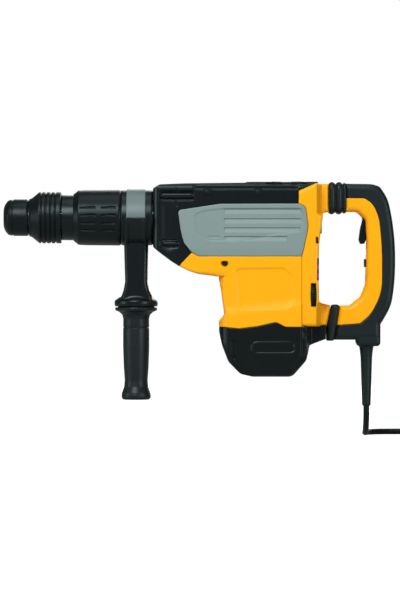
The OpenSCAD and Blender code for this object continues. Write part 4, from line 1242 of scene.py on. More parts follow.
@dataclass
class MainsCord:
    """The cord, its strain relief, tie and plug.

    Attributes:
        diameter: of the cord, in millimetres.
        length: of the cord, in metres; not used.
        route: its points from the strain relief to the coil, in the row frame's metres.
        centre: the coil's centre in row metres.
        outer: radius of the coil's outer turn, in metres.
        pitch: from one turn or layer to the next, in metres.
        turns: turns in each layer.
    """

    diameter: float = 9.0
    length: float = 4.0
    route: list[tuple[float, float, float]] = field(
        default_factory=lambda: [
            (-0.0195, 0, -0.226), (-0.0195, 0, -0.230), (-0.0195, 0.001, -0.239),
            (-0.0195, 0.005, -0.2485), (-0.0195, 0.011, -0.2565), (-0.0195, 0.019, -0.2625),
            (-0.0195, 0.028, -0.2662), (-0.0195, 0.038, -0.2675), (-0.018, 0.048, -0.2675),
            (-0.0145, 0.057, -0.2675), (-0.0085, 0.065, -0.2675), (-0.0005, 0.071, -0.2675),
            (0.0085, 0.0747, -0.2675), (0.0185, 0.076, -0.2675), (0.036, 0.076, -0.2675),
            (0.054, 0.076, -0.2675), (0.072, 0.076, -0.2675), (0.090, 0.076, -0.2675),
        ]
    )
    centre: tuple[float, float] = (0.120, 0.0075)
    outer: float = 0.0685
    pitch: float = 0.0092
    turns: float = 3.4

    def coil(self) -> list[tuple[float, float, float]]:
        """The coil's points: layers that wind in and out, then rise to the plug."""
        inner = self.outer - self.pitch * self.turns
        plug_z = (TOOL.metres(TOOL.middle("plug_body")))[2]
        low = self.route[-1][2]
        legs = [(self.turns, self.outer, inner, low, low)]
        legs += [(0.4, inner, inner, low, low + self.pitch)]
        legs += [(self.turns, inner, self.outer, low + self.pitch, low + self.pitch)]
        legs += [(0.65, self.outer, self.outer, low + self.pitch, low + 2 * self.pitch)]
        top = low + 2 * self.pitch
        legs += [(self.turns - 1, self.outer, inner + self.pitch, top, top)]
        legs += [(1.0, inner + self.pitch, inner, top, plug_z)]
        points, angle = [], math.pi / 2
        for turns, r0, r1, z0, z1 in legs:
            steps = max(6, round(turns * 40))
            for k in range(1, steps + 1):
                t = k / steps
                a = angle - 2 * math.pi * turns * t
                r = r0 + (r1 - r0) * t
                z = z0 + (z1 - z0) * float(ease(np.array(t), 0, 1))
                points.append((self.centre[0] + r * math.cos(a), self.centre[1] + r * math.sin(a), z))
            angle -= 2 * math.pi * turns
        return points

    def cord(self) -> bpy.types.Object:
        """The cord itself, as one swept line."""
        points = self.route + [(self.centre[0], self.route[-1][1], self.route[-1][2])] + self.coil()
        data = bpy.data.curves.new("mains_cord", "CURVE")
        data.dimensions = "3D"
        data.bevel_depth = self.diameter / 2000
        data.bevel_resolution = 4
        data.use_fill_caps = True
        line = data.splines.new("POLY")
        line.points.add(len(points) - 1)
        for item, point in zip(line.points, points):
            item.co = (*point, 1)
        data.materials.append(PAINT("cord_black"))
        piece = bpy.data.objects.new("mains_cord", data)
        bpy.context.scene.collection.objects.link(piece)
        settle(piece, "rear_handle", "cord_black", "cord_tube", "cord_coil")
        return piece

    def relief(self) -> bpy.types.Object:
        """The tapered strain relief under its block on the handle."""
        g = AT.grip_x
        exit_x = g - 19.5
        block = across(
            Outline(
                [
                    (g - 36, -176, 2), (g + 1, -150, 2), (g + 1, -189, 4), (g - 2.5, -192.6, 3),
                    (g - 32.5, -192.6, 4), (g - 35.5, -187, 3),
                ]
            ),
            19.4,
            6.5,
        )
        taper = Outline(
            [(-184, 0, 0), (-184, 11.5, 0), (-193, 10.9, 2), (-199, 9.8, 8), (-209, 8.7, 30),
             (-245, 7.6, 0), (-277.5, 6.6, 1), (-280.6, 6.5, 1.2), (-281.9, 5.4, 0.5), (-281.9, 0, 0)]
        )
        cone = Form(lambda x, y, z: taper(z, np.hypot(x - exit_x, y)))
        form = block.join(cone, 1.5).cut(post(exit_x, 0, -290, -279, 4.4, 0.3), 0.4)
        return mould(
            "strain_relief_boot", form, (g - 38, -20, -283), (g + 3, 20, -150), "soft_black", "rear_handle",
            "strain_relief", step=0.9,
        )

    def plug(self) -> list[bpy.types.Object]:
        """The two-pole plug that lies on the coil, with its blades."""
        low, high = TOOL.span("plug_body")
        cx, z = (low[0] + high[0]) / 2, (low[2] + high[2]) / 2
        back = high[1] - 24
        front = low[1]
        body = box((cx - 15.8, front, z - 13.3), (cx + 15.8, back, z + 13.3), 5)
        waist = Outline(
            [
                (back + 24, 0, 0), (back + 24, 6.1, 0.6), (back + 12, 8.2, 10), (back, 11, 2),
                (back - 6, 11, 0), (back - 6, 0, 0),
            ]
        )
        cone = Form(lambda x, y, zz: waist(y, np.hypot(x - cx, zz - z)))
        form = body.join(cone, 4)
        for s in (-1, 1):
            for k in range(5):
                y = front + 9 + k * 4.4
                form = form.cut(rod((cx + s * 16.4, y, z - 8), (cx + s * 16.4, y, z + 8), 1.3), 0.6)
        case = mould(
            "plug_body_moulding", form, (cx - 17, front - 1, z - 14), (cx + 17, back + 25, z + 14),
            "soft_black", "rear_handle", "plug_body", step=0.9,
        )
        reach = front - TOOL.span("plug_blades")[0][1] + 2
        part = bar_part(1.5, reach, 6.4, 0.35)
        first = TOOL.metres(np.array([cx - 6.35, front + 2 - reach / 2, z]))
        blades = REPEATS.make(
            "plug_blade_pair", REPEATS.row, None, Part=part, Count=2, First=first, Step=(0.0127, 0, 0),
            Finish=PAINT("brass"),
        )
        return [case, settle(blades, "rear_handle", "brass", "plug_blades")]

    def tie(self) -> bpy.types.Object:
        """The rubber strap that holds the coil."""
        turn = math.radians(150)
        c = TOOL.metres(np.zeros(3))
        cx, cy = (self.centre[0] - c[0]) * 1000, (self.centre[1] - c[1]) * 1000
        low_z = (cad_low.z - c[2]) * 1000
        outer, inner = pill(30.4, low_z + 0.1, 75.4, low_z + 29.2, 7), pill(
            32.8, low_z + 1.6, 73.0, low_z + 27.2, 6,
        )

        def reach(x: Array, y: Array, z: Array) -> Array:
            """Distance to the strap, in its own upright plane."""
            u = (x - cx) * math.cos(turn) + (y - cy) * math.sin(turn)
            v = -(x - cx) * math.sin(turn) + (y - cy) * math.cos(turn)
            ring = np.maximum(outer(u, z), -inner(u, z))
            return edged(ring, np.abs(v) - 5.5, 0.5)

        mid = np.array([cx + 53 * math.cos(turn), cy + 53 * math.sin(turn)])
        return mould(
            "coil_tie", Form(reach), (mid[0] - 26, mid[1] - 20, low_z),
            (mid[0] + 26, mid[1] + 20, low_z + 30), "soft_black", "rear_handle", step=0.7,
        )

    def build(self) -> None:
        cord = self.cord()
        relief = self.relief()
        pieces = [relief, *self.plug(), self.tie()]


# ------------------------------------------------------------------ tool holder and barrel


@dataclass
class ToolHolder:
    """The dust cap and the locking sleeve behind it.

    Attributes:
        ribs: grip ribs round the sleeve.
        groove: depth of the grooves between them, in millimetres.
    """

    ribs: int = 4
    groove: float = 1.9

    def nose(self) -> None:
        """The rubber dust cap with the tool opening."""
        end, r = TOOL.span("nose_cap")[1][:2]
        bore = TOOL.span("spindle")[1][2]
        hole = min(r * 0.44, bore)
        lathed(
            "dust_cap",
            soft_profile([
                (5.8, hole, 0), (0.6, hole, 0.8), (0.0, hole + 2.6, 0.8), (2.0, r - 7.5, 2.5),
                (6.4, r - 1.8, 5),
                (12.6, r - 0.3, 1), (13.1, r - 1.3, 0.3), (14.3, r - 1.3, 0.3), (14.8, r - 0.1, 0.5),
                (end - 2.6, r, 1.5), (end - 0.2, r - 1.6, 0.6), (end - 0.2, hole + 6, 0), (5.8, hole + 6, 0),
            ]),
            "nose_black", "tool_spindle", "nose_cap", sides=128,
        )

    def sleeve(self) -> None:
        """The ribbed locking sleeve."""
        low, high = TOOL.span("locking_sleeve")
        x0, x1, r = low[0], high[0], high[1]
        nose_r = TOOL.span("nose_cap")[1][1]
        rim = TOOL.span("barrel_cover")[0][0]
        profile: list[tuple[float, float, float]] = [
            (x0 + 20, 25.4, 0), (x0, 25.4, 0), (x0, nose_r + 0.2, 0.8), (x0 + 4, nose_r + 1.6, 3),
            (x0 + 13.5, r - 1.6, 2.5), (x0 + 15.2, r - 0.2, 1.2),
        ]
        start, pitch = x0 + 17.4, (x1 - x0 - 20.5) / self.ribs
        for i in range(self.ribs):
            x = start + i * pitch
            profile += [
                (x, r, 0.8), (x + 0.9, r - self.groove, 0.4), (x + 1.9, r - self.groove, 0.4),
                (x + 2.8, r, 0.8),
            ]
        neck = AT.neck_r + 0.5
        profile += [(x1 - 1.2, r, 1.2), (x1, r - 1.6, 0.6), (x1, neck, 0), (x0 + 24, neck, 0)]
        lathed(
            "locking_sleeve_shell", soft_profile(profile), "nose_black", "release_sleeve", "locking_sleeve",
            sides=144,
        )
        LOG.info("sleeve ends %.1f mm before the barrel cover", rim - x1)

    def spring(self) -> None:
        """The spring that the sleeve pushes back."""
        low, high = TOOL.span("sleeve_spring")
        points, faces = coiled(low[0], high[0], (0, 0), high[1] - 1.15, 1.1, 5)
        piece = mesh_object("sleeve_return_spring", points, faces, "bright_steel")
        outward(piece)
        settle_between(
            piece, ("release_sleeve", "tool_spindle"), low[0] + 0.5, high[0] - 0.5, "bright_steel", "sleeve_spring"
        )

    def build(self) -> None:
        """Makes the three pieces."""
        self.nose()
        self.sleeve()
        self.spring()


@dataclass
class Barrel:
    """The metal barrel and its slotted cover.

    Attributes:
        rows: where the slots lie round each side, in degrees above the middle.
        slots: where the two columns of slots start and end, back from the cover's front.
    """

    rows: tuple[float, ...] = (20.0, 3.5, -12.5, -28.0)
    slots: tuple[tuple[float, float], ...] = ((10.5, 33.8), (42.4, 63.6))

    def housing(self) -> None:
        """The neck and the collar of the barrel housing."""
        r = TOOL.span("barrel_housing")[1][1]
        n = AT.neck_r
        lathed(
            "barrel_neck_and_collar",
            soft_profile([
                (AT.barrel_x + 22, 30, 0), (AT.neck_x + 0.6, 30, 0), (AT.neck_x + 0.6, n - 0.3, 1),
                (AT.barrel_x - 0.4, n - 0.1, 0), (AT.barrel_x + 6, n - 0.1, 0), (AT.barrel_x + 10, 37.8, 0),
                (AT.collar_x + 0.3, 37.8, 0), (AT.collar_x + 0.3, r - 0.9, 0.5), (AT.collar_x + 1.4, r, 0.8),
                (AT.case_x - 2.2, r, 0.8), (AT.case_x - 0.2, r - 1.6, 0.5), (AT.case_x - 0.2, 37, 0),
                (AT.collar_x + 8, 37, 0), (AT.collar_x, 34.5, 0), (AT.barrel_x + 22, 34.5, 0),
            ]),
            "magnesium", "housing", "barrel_housing", sides=144,
        )

    def cover(self) -> None:
        """The cover, with tapered slots sunk in both sides."""
        r = TOOL.span("barrel_cover")[1][1]
        x0, x1, n = AT.barrel_x, AT.collar_x, AT.neck_r
        wall = Outline([
            (x0, n + 0.1, 0.4), (x0 + 0.2, n + 1.2, 1), (x0 + 7.5, r - 1.0, 4), (x0 + 20, r - 0.4, 20),
            (x1 - 3, r, 2), (x1, r - 1.3, 0.8), (x1, 38, 0), (x0 + 10, 38, 0), (x0 + 6, n + 0.1, 0),
        ])
        cuts = []
        for start, end in self.slots:
            for row in self.rows:
                mid = math.radians(row) * r
                shape = Outline([
                    (x0 + start, mid - 0.9, 0.8), (x0 + end, mid - 1.7, 1.4),
                    (x0 + end, mid + 1.7, 1.4), (x0 + start, mid + 0.9, 0.8),
                ])
                cuts.append(sunk(shape, 3.6, 0.8))

        def reach(x: Array, y: Array, z: Array) -> Array:
            """Distance to the wall, pushed in at the slots."""
            turn = np.arctan2(z, np.abs(y)) * r
            deep = sum(cut(x, turn) for cut in cuts)
            away = np.hypot(y, z)
            return wall(x, away + deep * ease(away, 38.2, r - 1))

        mould(
            "barrel_cover_shell", Form(reach), (x0, -r, -r), (x1, r, r), "nose_black", "housing",
            "barrel_cover", step=0.95,
        )

    def build(self) -> None:
        """Makes both pieces."""
        self.housing()
        self.cover()


# ------------------------------------------------------------------ casings


PANEL = [
    (261, 10, 5), (324.6, 19.5, 30), (441.6, 19.8, 5), (450.9, 14.3, 7), (454.4, -12, 18), (452.8, -24, 14),
    (445.4, -58.3, 3), (291.6, -58.3, 9), (280.8, -51.5, 6), (270, -38.6, 12), (265.5, -20.9, 20),
]


@dataclass
class GearCase:
    """The black gear case with its top cover, mode knob, clips and grey panels.

    Attributes:
        half: half of the case's width.
        louvres: height of the upper edge of each louvre, and where it ends.
        clips: X of the two clips on each side.
    """

    half: float = 44.0
    louvres: tuple[tuple[float, float], ...] = ((12.0, 446), (-2.5, 446), (-16.0, 444), (-29.0, 424))
    clips: tuple[float, ...] = (305.0, 380.5)

    def case(self) -> None:
        """The case itself."""
        x0, top = AT.case_x, AT.case_top
        side = Outline([
            (x0, 42.4, 3), (x0 + 10.5, top - 2.2, 7), (x0 + 47, top - 0.6, 30), (x0 + 137, top + 0.5, 10),
            (x0 + 147, top + 2.3, 10), (471, top + 2.5, 2), (470, 50.6, 0.8), (440.6, 39.2, 2),
            (440.6, -59, 1), (300, -70, 1), (281, -54, 1), (262.6, -72.8, 1), (250.5, -65, 20),
            (232.5, -51.5, 12), (x0 + 1, -45, 5), (x0, -42, 2),
        ])

        def width(x: Array, z: Array) -> Array:
            """Half width: waisted behind the barrel, set back along the rail."""
            waist = 3.2 * np.exp(-(((x - 247) / 11) ** 2)) * ease(z, -58, -34) * (1 - ease(z, 16, 26))
            rail = 2.4 * ease(z, 40.2, 41.4) * ease(x, 283, 287) * (1 - ease(x, 437, 442))
            ridge = 0.9 * np.exp(-(((x - 260) / 1.1) ** 2)) * ease(z, 15, 17)
            return self.half - waist - rail - ridge

        form = across(side, width, 2.2)
        form = form.keep(along(pill(-self.half, -100, self.half, top + 2.5, 13), x0 - 5, 480), 1)
        plan = Outline([(x0, -self.half, 11), (480, -self.half, 0), (480, self.half, 0), (x0, self.half, 11)])
        form = form.keep(upright(plan, -200, 200), 1)
        for low, high, start, end in ((25, 39.2, 233, 285), (-45.5, -33.5, 235, 262)):
            mid, r = (low + high) / 2, (high - low) / 2
            trough = Form(lambda x, y, z, a=start, b=end, m=mid, q=r: edged(
                pill(a, m - q, b, m + q, 4)(x, z), self.half - 4.4 - np.abs(y), 0.8))
            bolt = rod((start + 6, self.half - 5.2, mid), (end - 4, self.half - 5.2, mid), r - 2.2).both_sides()
            form = form.cut(trough, 1.6).join(bolt, 1.2)
        seat = Form(lambda x, y, z: edged(Outline(PANEL)(x, z) - 0.35, self.half - 1.5 - np.abs(y), 0.2))
        form = form.cut(seat, 0.4)
        form = form.cut(box((AT.case_x + 29.7, -17.3, top - 6), (AT.rear_x - 38, 17.3, top + 20), 0.4), 0.5)
        form = form.cut(post(AT.motor_x + 30, 0, top - 1.8, top + 20, 33.0, 0.3), 0.4)
        lens = Outline(
            [
                (388, 50.2, 0), (405, 47.8, 30), (440, 47.8, 30), (456, 50.4, 0), (440, 52.4, 30),
                (405, 52.3, 30),
            ]
        )
        form = form.cut(Form(lambda x, y, z: edged(lens(x, z), 33.6 - np.abs(y), 0.4)), 0.8)
        bore = turned(Outline([(x0 - 5, -1, 0), (347, -1, 0), (347, 29.5, 1), (x0 - 5, 29.5, 1)]))
        form = form.cut(bore, 0.4)
        mould(
            "gear_case_shell", form, (x0, -self.half, -74), (471, self.half, top + 2.5), "case_black",
            "housing", "gear_case", step=1.23,
        )

    def panel(self, side: int) -> None:
        """A grey side panel with its louvres.

        Args:
            side: 1 for +Y, -1 for -Y.
        """
        face = AT.panel_half
        field = Outline([
            (286, 4, 8), (300, 9, 14), (330, 12.6, 14), (441, 13.2, 6), (447, 5, 6), (447.2, -16, 8),
            (436, -23, 10),
            (400, -27.5, 30), (345, -36.5, 40), (306, -35.5, 10), (291.5, -28, 8), (286.5, -13, 12),
        ])
        hollow = sunk(field, 1.0, 1.6)
        dash = sunk(pill(307, -31.4, 323.5, -28.6, 1.3), 0.8, 0.8)

        def width(x: Array, z: Array) -> Array:
            """Half width: a shallow field, with louvres that rise from their upper edge down."""
            deep = hollow(x, z) + dash(x, z)
            for z0, end in self.louvres:
                ramp = np.clip(1 - (z0 - z) / 7.2, 0, 1) * (1 - ease(z, z0 - 0.35, z0 + 0.35))
                deep = deep + 2.3 * ramp * ease(x, 329, 331.5) * (1 - ease(x, end - 3, end))
            crown = 1.3 * ease(x, 290, 262) + 0.8 * ease(z, -46, -58.3)
            return face - deep - crown

        flat = across(Outline(PANEL), width, 1.3)
        low, high = AT.case_half - 1.4, face + 1
        keep = box((200, low, -100), (500, high, 100)) if side > 0 else box(
            (200, -high, -100), (500, -low, 100),
        )
        name = "right" if side > 0 else "left"
        mould(
            f"side_panel_{name}_louvred", flat.keep(keep),
            (261, low if side > 0 else -face, -59), (455, face if side > 0 else -low, 20),
            "panel_grey", "housing", f"side_panel_{name}", step=0.85,
        )

    def top(self) -> None:
        """The top cover with a low bump."""
        t = AT.case_top
        x0, x1 = AT.case_x + 30.3, AT.rear_x - 38.3
        side = Outline(
            [(x0, t - 5.8, 0), (x0, t - 1.2, 2), (x0 + 110, t + 0.6, 20), (x1, t + 1.8, 1), (x1, t - 5.8, 0)]
        )
        form = across(side, 17, 1.0)
        form = form.join(box((363, -14, t), (384.5, 14, t + 2.6), 1.3), 1.2)
        form = form.cut(post(AT.motor_x + 30, 0, t - 1.8, t + 20, 33.2, 0.3), 0.4)
        mould(
            "top_cover_shell", form, (AT.case_x + 30, -17, t - 6), (AT.rear_x - 38, 17, t + 2.7), "cap_black",
            "housing", "top_cover", step=0.95,
        )

    def knob(self) -> None:
        """The mode knob with its finger bar."""
        low, high = TOOL.span("mode_selector")
        cx, r, base, peak = (low[0] + high[0]) / 2, high[1], low[2], high[2]
        r = min(r, 32.0)
        form = post(cx, 0, base, peak - 2.2, r, 1.2)
        form = form.join(box((cx - r + 3, -6, base), (cx + r - 3, 6, peak), 2.4), 2.5)
        dip = Form(
            lambda x, y,
            z: np.sqrt(((x - cx) / 26) ** 2 + ((np.abs(y) - 15) / 8.5) ** 2 + ((z - peak) / 5.5) ** 2) * 5.5 - 5.5,
        )
        form = form.cut(dip, 1.2)
        mould(
            "mode_knob_turned", form, (cx - r, -r, base), (cx + r, r, peak), "cap_black", "mode_knob",
            "mode_selector", step=0.85,
        )

    def clip_seats(self) -> None:
        """The clips that lock the top cover to the case: tongues over dark bars, which paint the shade in their
        pockets.
        """
        places = [((x, s * (self.half - 0.6), 37.5), (0, s, 0)) for x in self.clips for s in (-1, 1)]
        base = seats(places)
        # Dark bars where the clip pockets are: painted shade
        part = bar_part(12, 9.2, 2.6, 0.9, 3)
        REPEATS.seated("case_clips", base, part, "slot_dark")
        base = seats([((x, s * (self.half + 0.5), 36.4), (0, s, 0)) for x in self.clips for s in (-1, 1)])
        part = bar_part(7, 6.4, 1.4, 0.6, 3)
        REPEATS.seated("case_clip_tongues", base, part, "case_black")

    def build(self) -> None:
        """Makes the case and everything on it."""
        self.case()
        self.top()
        self.knob()
        for side in (-1, 1):
            self.panel(side)
        self.clip_seats()


SEAM = [(322.5, -163.2), (352.5, -166), (380, -162.5), (407, -156.2), (420.6, -163.4), (444.9, -163.6)]


def seam_line(shift: float) -> list[tuple[float, float, float]]:
    """The line where the motor housing meets the end cap, moved up by shift."""
    return [(x, z + shift, 10 if 340 < x < 430 else 0) for x, z in SEAM]


@dataclass
class MotorColumn:
    """The yellow motor housing over the black end cap.

    Attributes:
        half: half width at the foot of the housing.
        upper: half width above its shoulder.
        corner: radius of its front corners, seen from above.
    """

    half: float = AT.motor_half
    upper: float = 50.4
    corner: float = 22.0

    def plan(self, x0: float, back: float, half: float, r: float) -> Form:
        """An upright form with rounded front corners."""
        return upright(
            Outline([(x0, -half, r), (back + 60, -half, 0), (back + 60, half, 0), (x0, half, r)], 8), -400,
            200,
        )

    def housing(self) -> None:
        """The motor housing with its blank name recess."""
        side = Outline([
            (262.4, -73.2, 0.5), (281.6, -53.2, 1), (300, -45, 0), (430, -45, 0), (444.9, -50, 0),
            *reversed(seam_line(0.2)), (322.2, -154, 3), (330.3, -145.5, 8), (325.2, -108, 30),
            (323, -95.5, 5), (317.5, -87.8, 7), (309, -86.7, 5), (291, -84.4, 25), (277.5, -80, 20),
            (266, -75, 6),
        ])
        name = Outline([
            (347.5, -77, 6), (417.7, -76, 10), (431, -87.5, 9), (432.2, -113.8, 20), (431, -128, 9),
            (421, -135.8, 8),
            (365, -137, 12), (352.4, -133, 8), (349.5, -115, 20),
        ])
        recess = sunk(name, 1.7, 4.2)
        pit = sunk(
            Outline([(324.8, -66.2, 2), (336.4, -66.2, 2), (334.5, -72.4, 3), (326.7, -72.4, 3)]), 5, 1.0,
        )

        def width(x: Array, z: Array) -> Array:
            """Half width: a shoulder that flares to the foot, and the recesses."""
            line = -133 + (x - 330) * 0.1
            flare = (self.half - self.upper) * (1 - ease(z, line - 17, line + 3))
            crease = 0.5 * np.exp(-(((x - 330.6) / 1.2) ** 2)) * (1 - ease(z, -76, -74)) * ease(z, -96, -84)
            roll = 2.6 * ease(x, 346, 322) * ease(z, -80, -92) + 4.2 * ease(x, 310, 262)
            return self.upper + flare - recess(x, z) - pit(x, z) - crease - roll

        form = across(side, width, 0.6)
        foot = self.plan(322.3, 445, self.half, self.corner)
        above = self.plan(262, 445, self.upper + 0.4, 15)
        form = Form(
            lambda x, y, z, f=form: np.maximum(f(x, y, z), np.where(z > -87.5, above(x, y, z), foot(x, y, z))),
        )
        form = form.cut(
            Form(
                lambda x, y,
                z: edged(
                    Outline([
                        (200, 80, 0), (440.4, 80, 0), (440.4, -59.5, 1), (300, -70.4, 1), (281.2, -54.4, 1),
                        (262.9, -73, 0), (200, -60, 0),
                    ])(
                        x, z,
                    ),
                    np.abs(y) - 44.2, 0.2,
                ),
            )
        )
        seat = Form(lambda x, y, z: edged(Outline(PANEL)(x, z) - 0.4, 42.2 - np.abs(y), 0.2))
        form = form.cut(seat, 0.5)
        front_round = Outline([(x, z, r) for x, z, r in (
            (262.4, -60, 0), (262.4, -72.5, 3), (277.5, -80.2, 20), (291, -84.6, 25), (309, -86.8, 8),
            (317.5, -87.9, 7),
            (323.0, -95.5, 6), (325.2, -108, 30), (330.3, -145.5, 10), (321.8, -155, 4), (321.8, -190, 0),
            (560, -190, 0), (560, 60, 0), (262.4, 60, 0))])
        soft = across(front_round, self.half + 0.2, 10)
        form = form.keep(soft, 1.5)
        mould(
            "motor_housing_shell", form, (262, -self.half, -167), (445, self.half, -44), "yellow", "housing",
            "motor_housing", step=1.15,
        )
        base = seats([((330.8, s * (self.upper - 6.0), -69), (0, s, 0)) for s in (-1, 1)])
        REPEATS.seated("housing_screw_heads", base, screw_part(4.0, 2.6), "screw_dark")

    def cap(self) -> None:
        """The end cap with its vents, raised bar and sloped foot."""
        back = TOOL.span("end_cap")[1][0]
        low = AT.cap_z
        side = Outline([
            *seam_line(-0.2), (456, -163.2, 0), (back, -160.2, 0), (back - 1, -182.4, 1), (480, -182.6, 4),
            (457.4, -191.4, 3), (456, -199, 8), (452.6, -213, 12), (444, -228, 8), (430.5, low, 12),
            (372, low, 10), (354, low + 4.3, 12), (336, -215.7, 14), (327, -192.5, 20), (322.6, -170, 0),
        ])
        bar = sunk(pill(371.8, -199.5, 434, -185.5, 6.8), 2.7, 1.5)
        rim = sunk(pill(369.8, -201.5, 436, -183.5, 8.6), 1.5, 2.0)
        slit = sunk(
            Outline(
                [
                    (340.2, -182.7, 2.5), (346.8, -182.7, 2.5), (346.8, -209, 3), (344.5, -214, 2),
                    (340.2, -207, 3),
                ]
            ),
            3.2, 1.1,
        )
        foot = Outline(
            [
                (300, -204, 0), (366, -205.6, 6), (384.2, -225.8, 8), (427.3, -225.8, 8), (443.5, -207.5, 6),
                (480, -204, 0), (480, -260, 0), (300, -260, 0),
            ]
        )
        nook = sunk(pill(447.6, -180, 452.4, -170, 2), 1.6, 1)

        def width(x: Array, z: Array) -> Array:
            """Half width of the cap, which steps in to the arm behind x 445."""
            slope = np.clip(-foot(x, z), 0, 30)
            arm = (self.half - AT.handle_half - 1.2) * ease(x, 450, 461)
            step = 3.2 * ease(x, 443.4, 445.6)
            return self.half - 0.42 * slope - rim(x, z) + bar(x, z) - slit(x, z) - nook(x, z) - np.maximum(
                arm, step,
            )

        form = across(side, width, 1.2)
        shape = [
            (322.2, -self.half, self.corner), (600, -self.half, 0), (600, self.half, 0),
            (322.2, self.half, self.corner),
        ]
        form = form.keep(upright(Outline(shape, 8), -400, 100), 0.8)
        bowl = across(Outline([
            (322.2, -100, 0), (322.2, -175, 5), (327.2, -192.5, 20), (336, -216, 16), (354, low + 4, 14),
            (372, low, 10),
            (431, low, 14), (452.8, -213, 14), (457.8, -191, 10), (480, -183, 3),
            (560, -183, 0), (560, -100, 0)]), self.half, 14)
        form = form.keep(bowl, 1.0)
        for x in (-44.5, 44.5):
            form = form.cut(post(AT.motor_x + x, 34, low - 5, low + 23.8, 4.1, 0.1).both_sides(), 0.3)
        mould(
            "end_cap_shell", form, (322, -self.half, low), (back, self.half, -156), "cap_black", "housing",
            "end_cap", step=1.15,
        )

    def build(self) -> None:
        """Makes the column."""
        self.housing()
        self.cap()


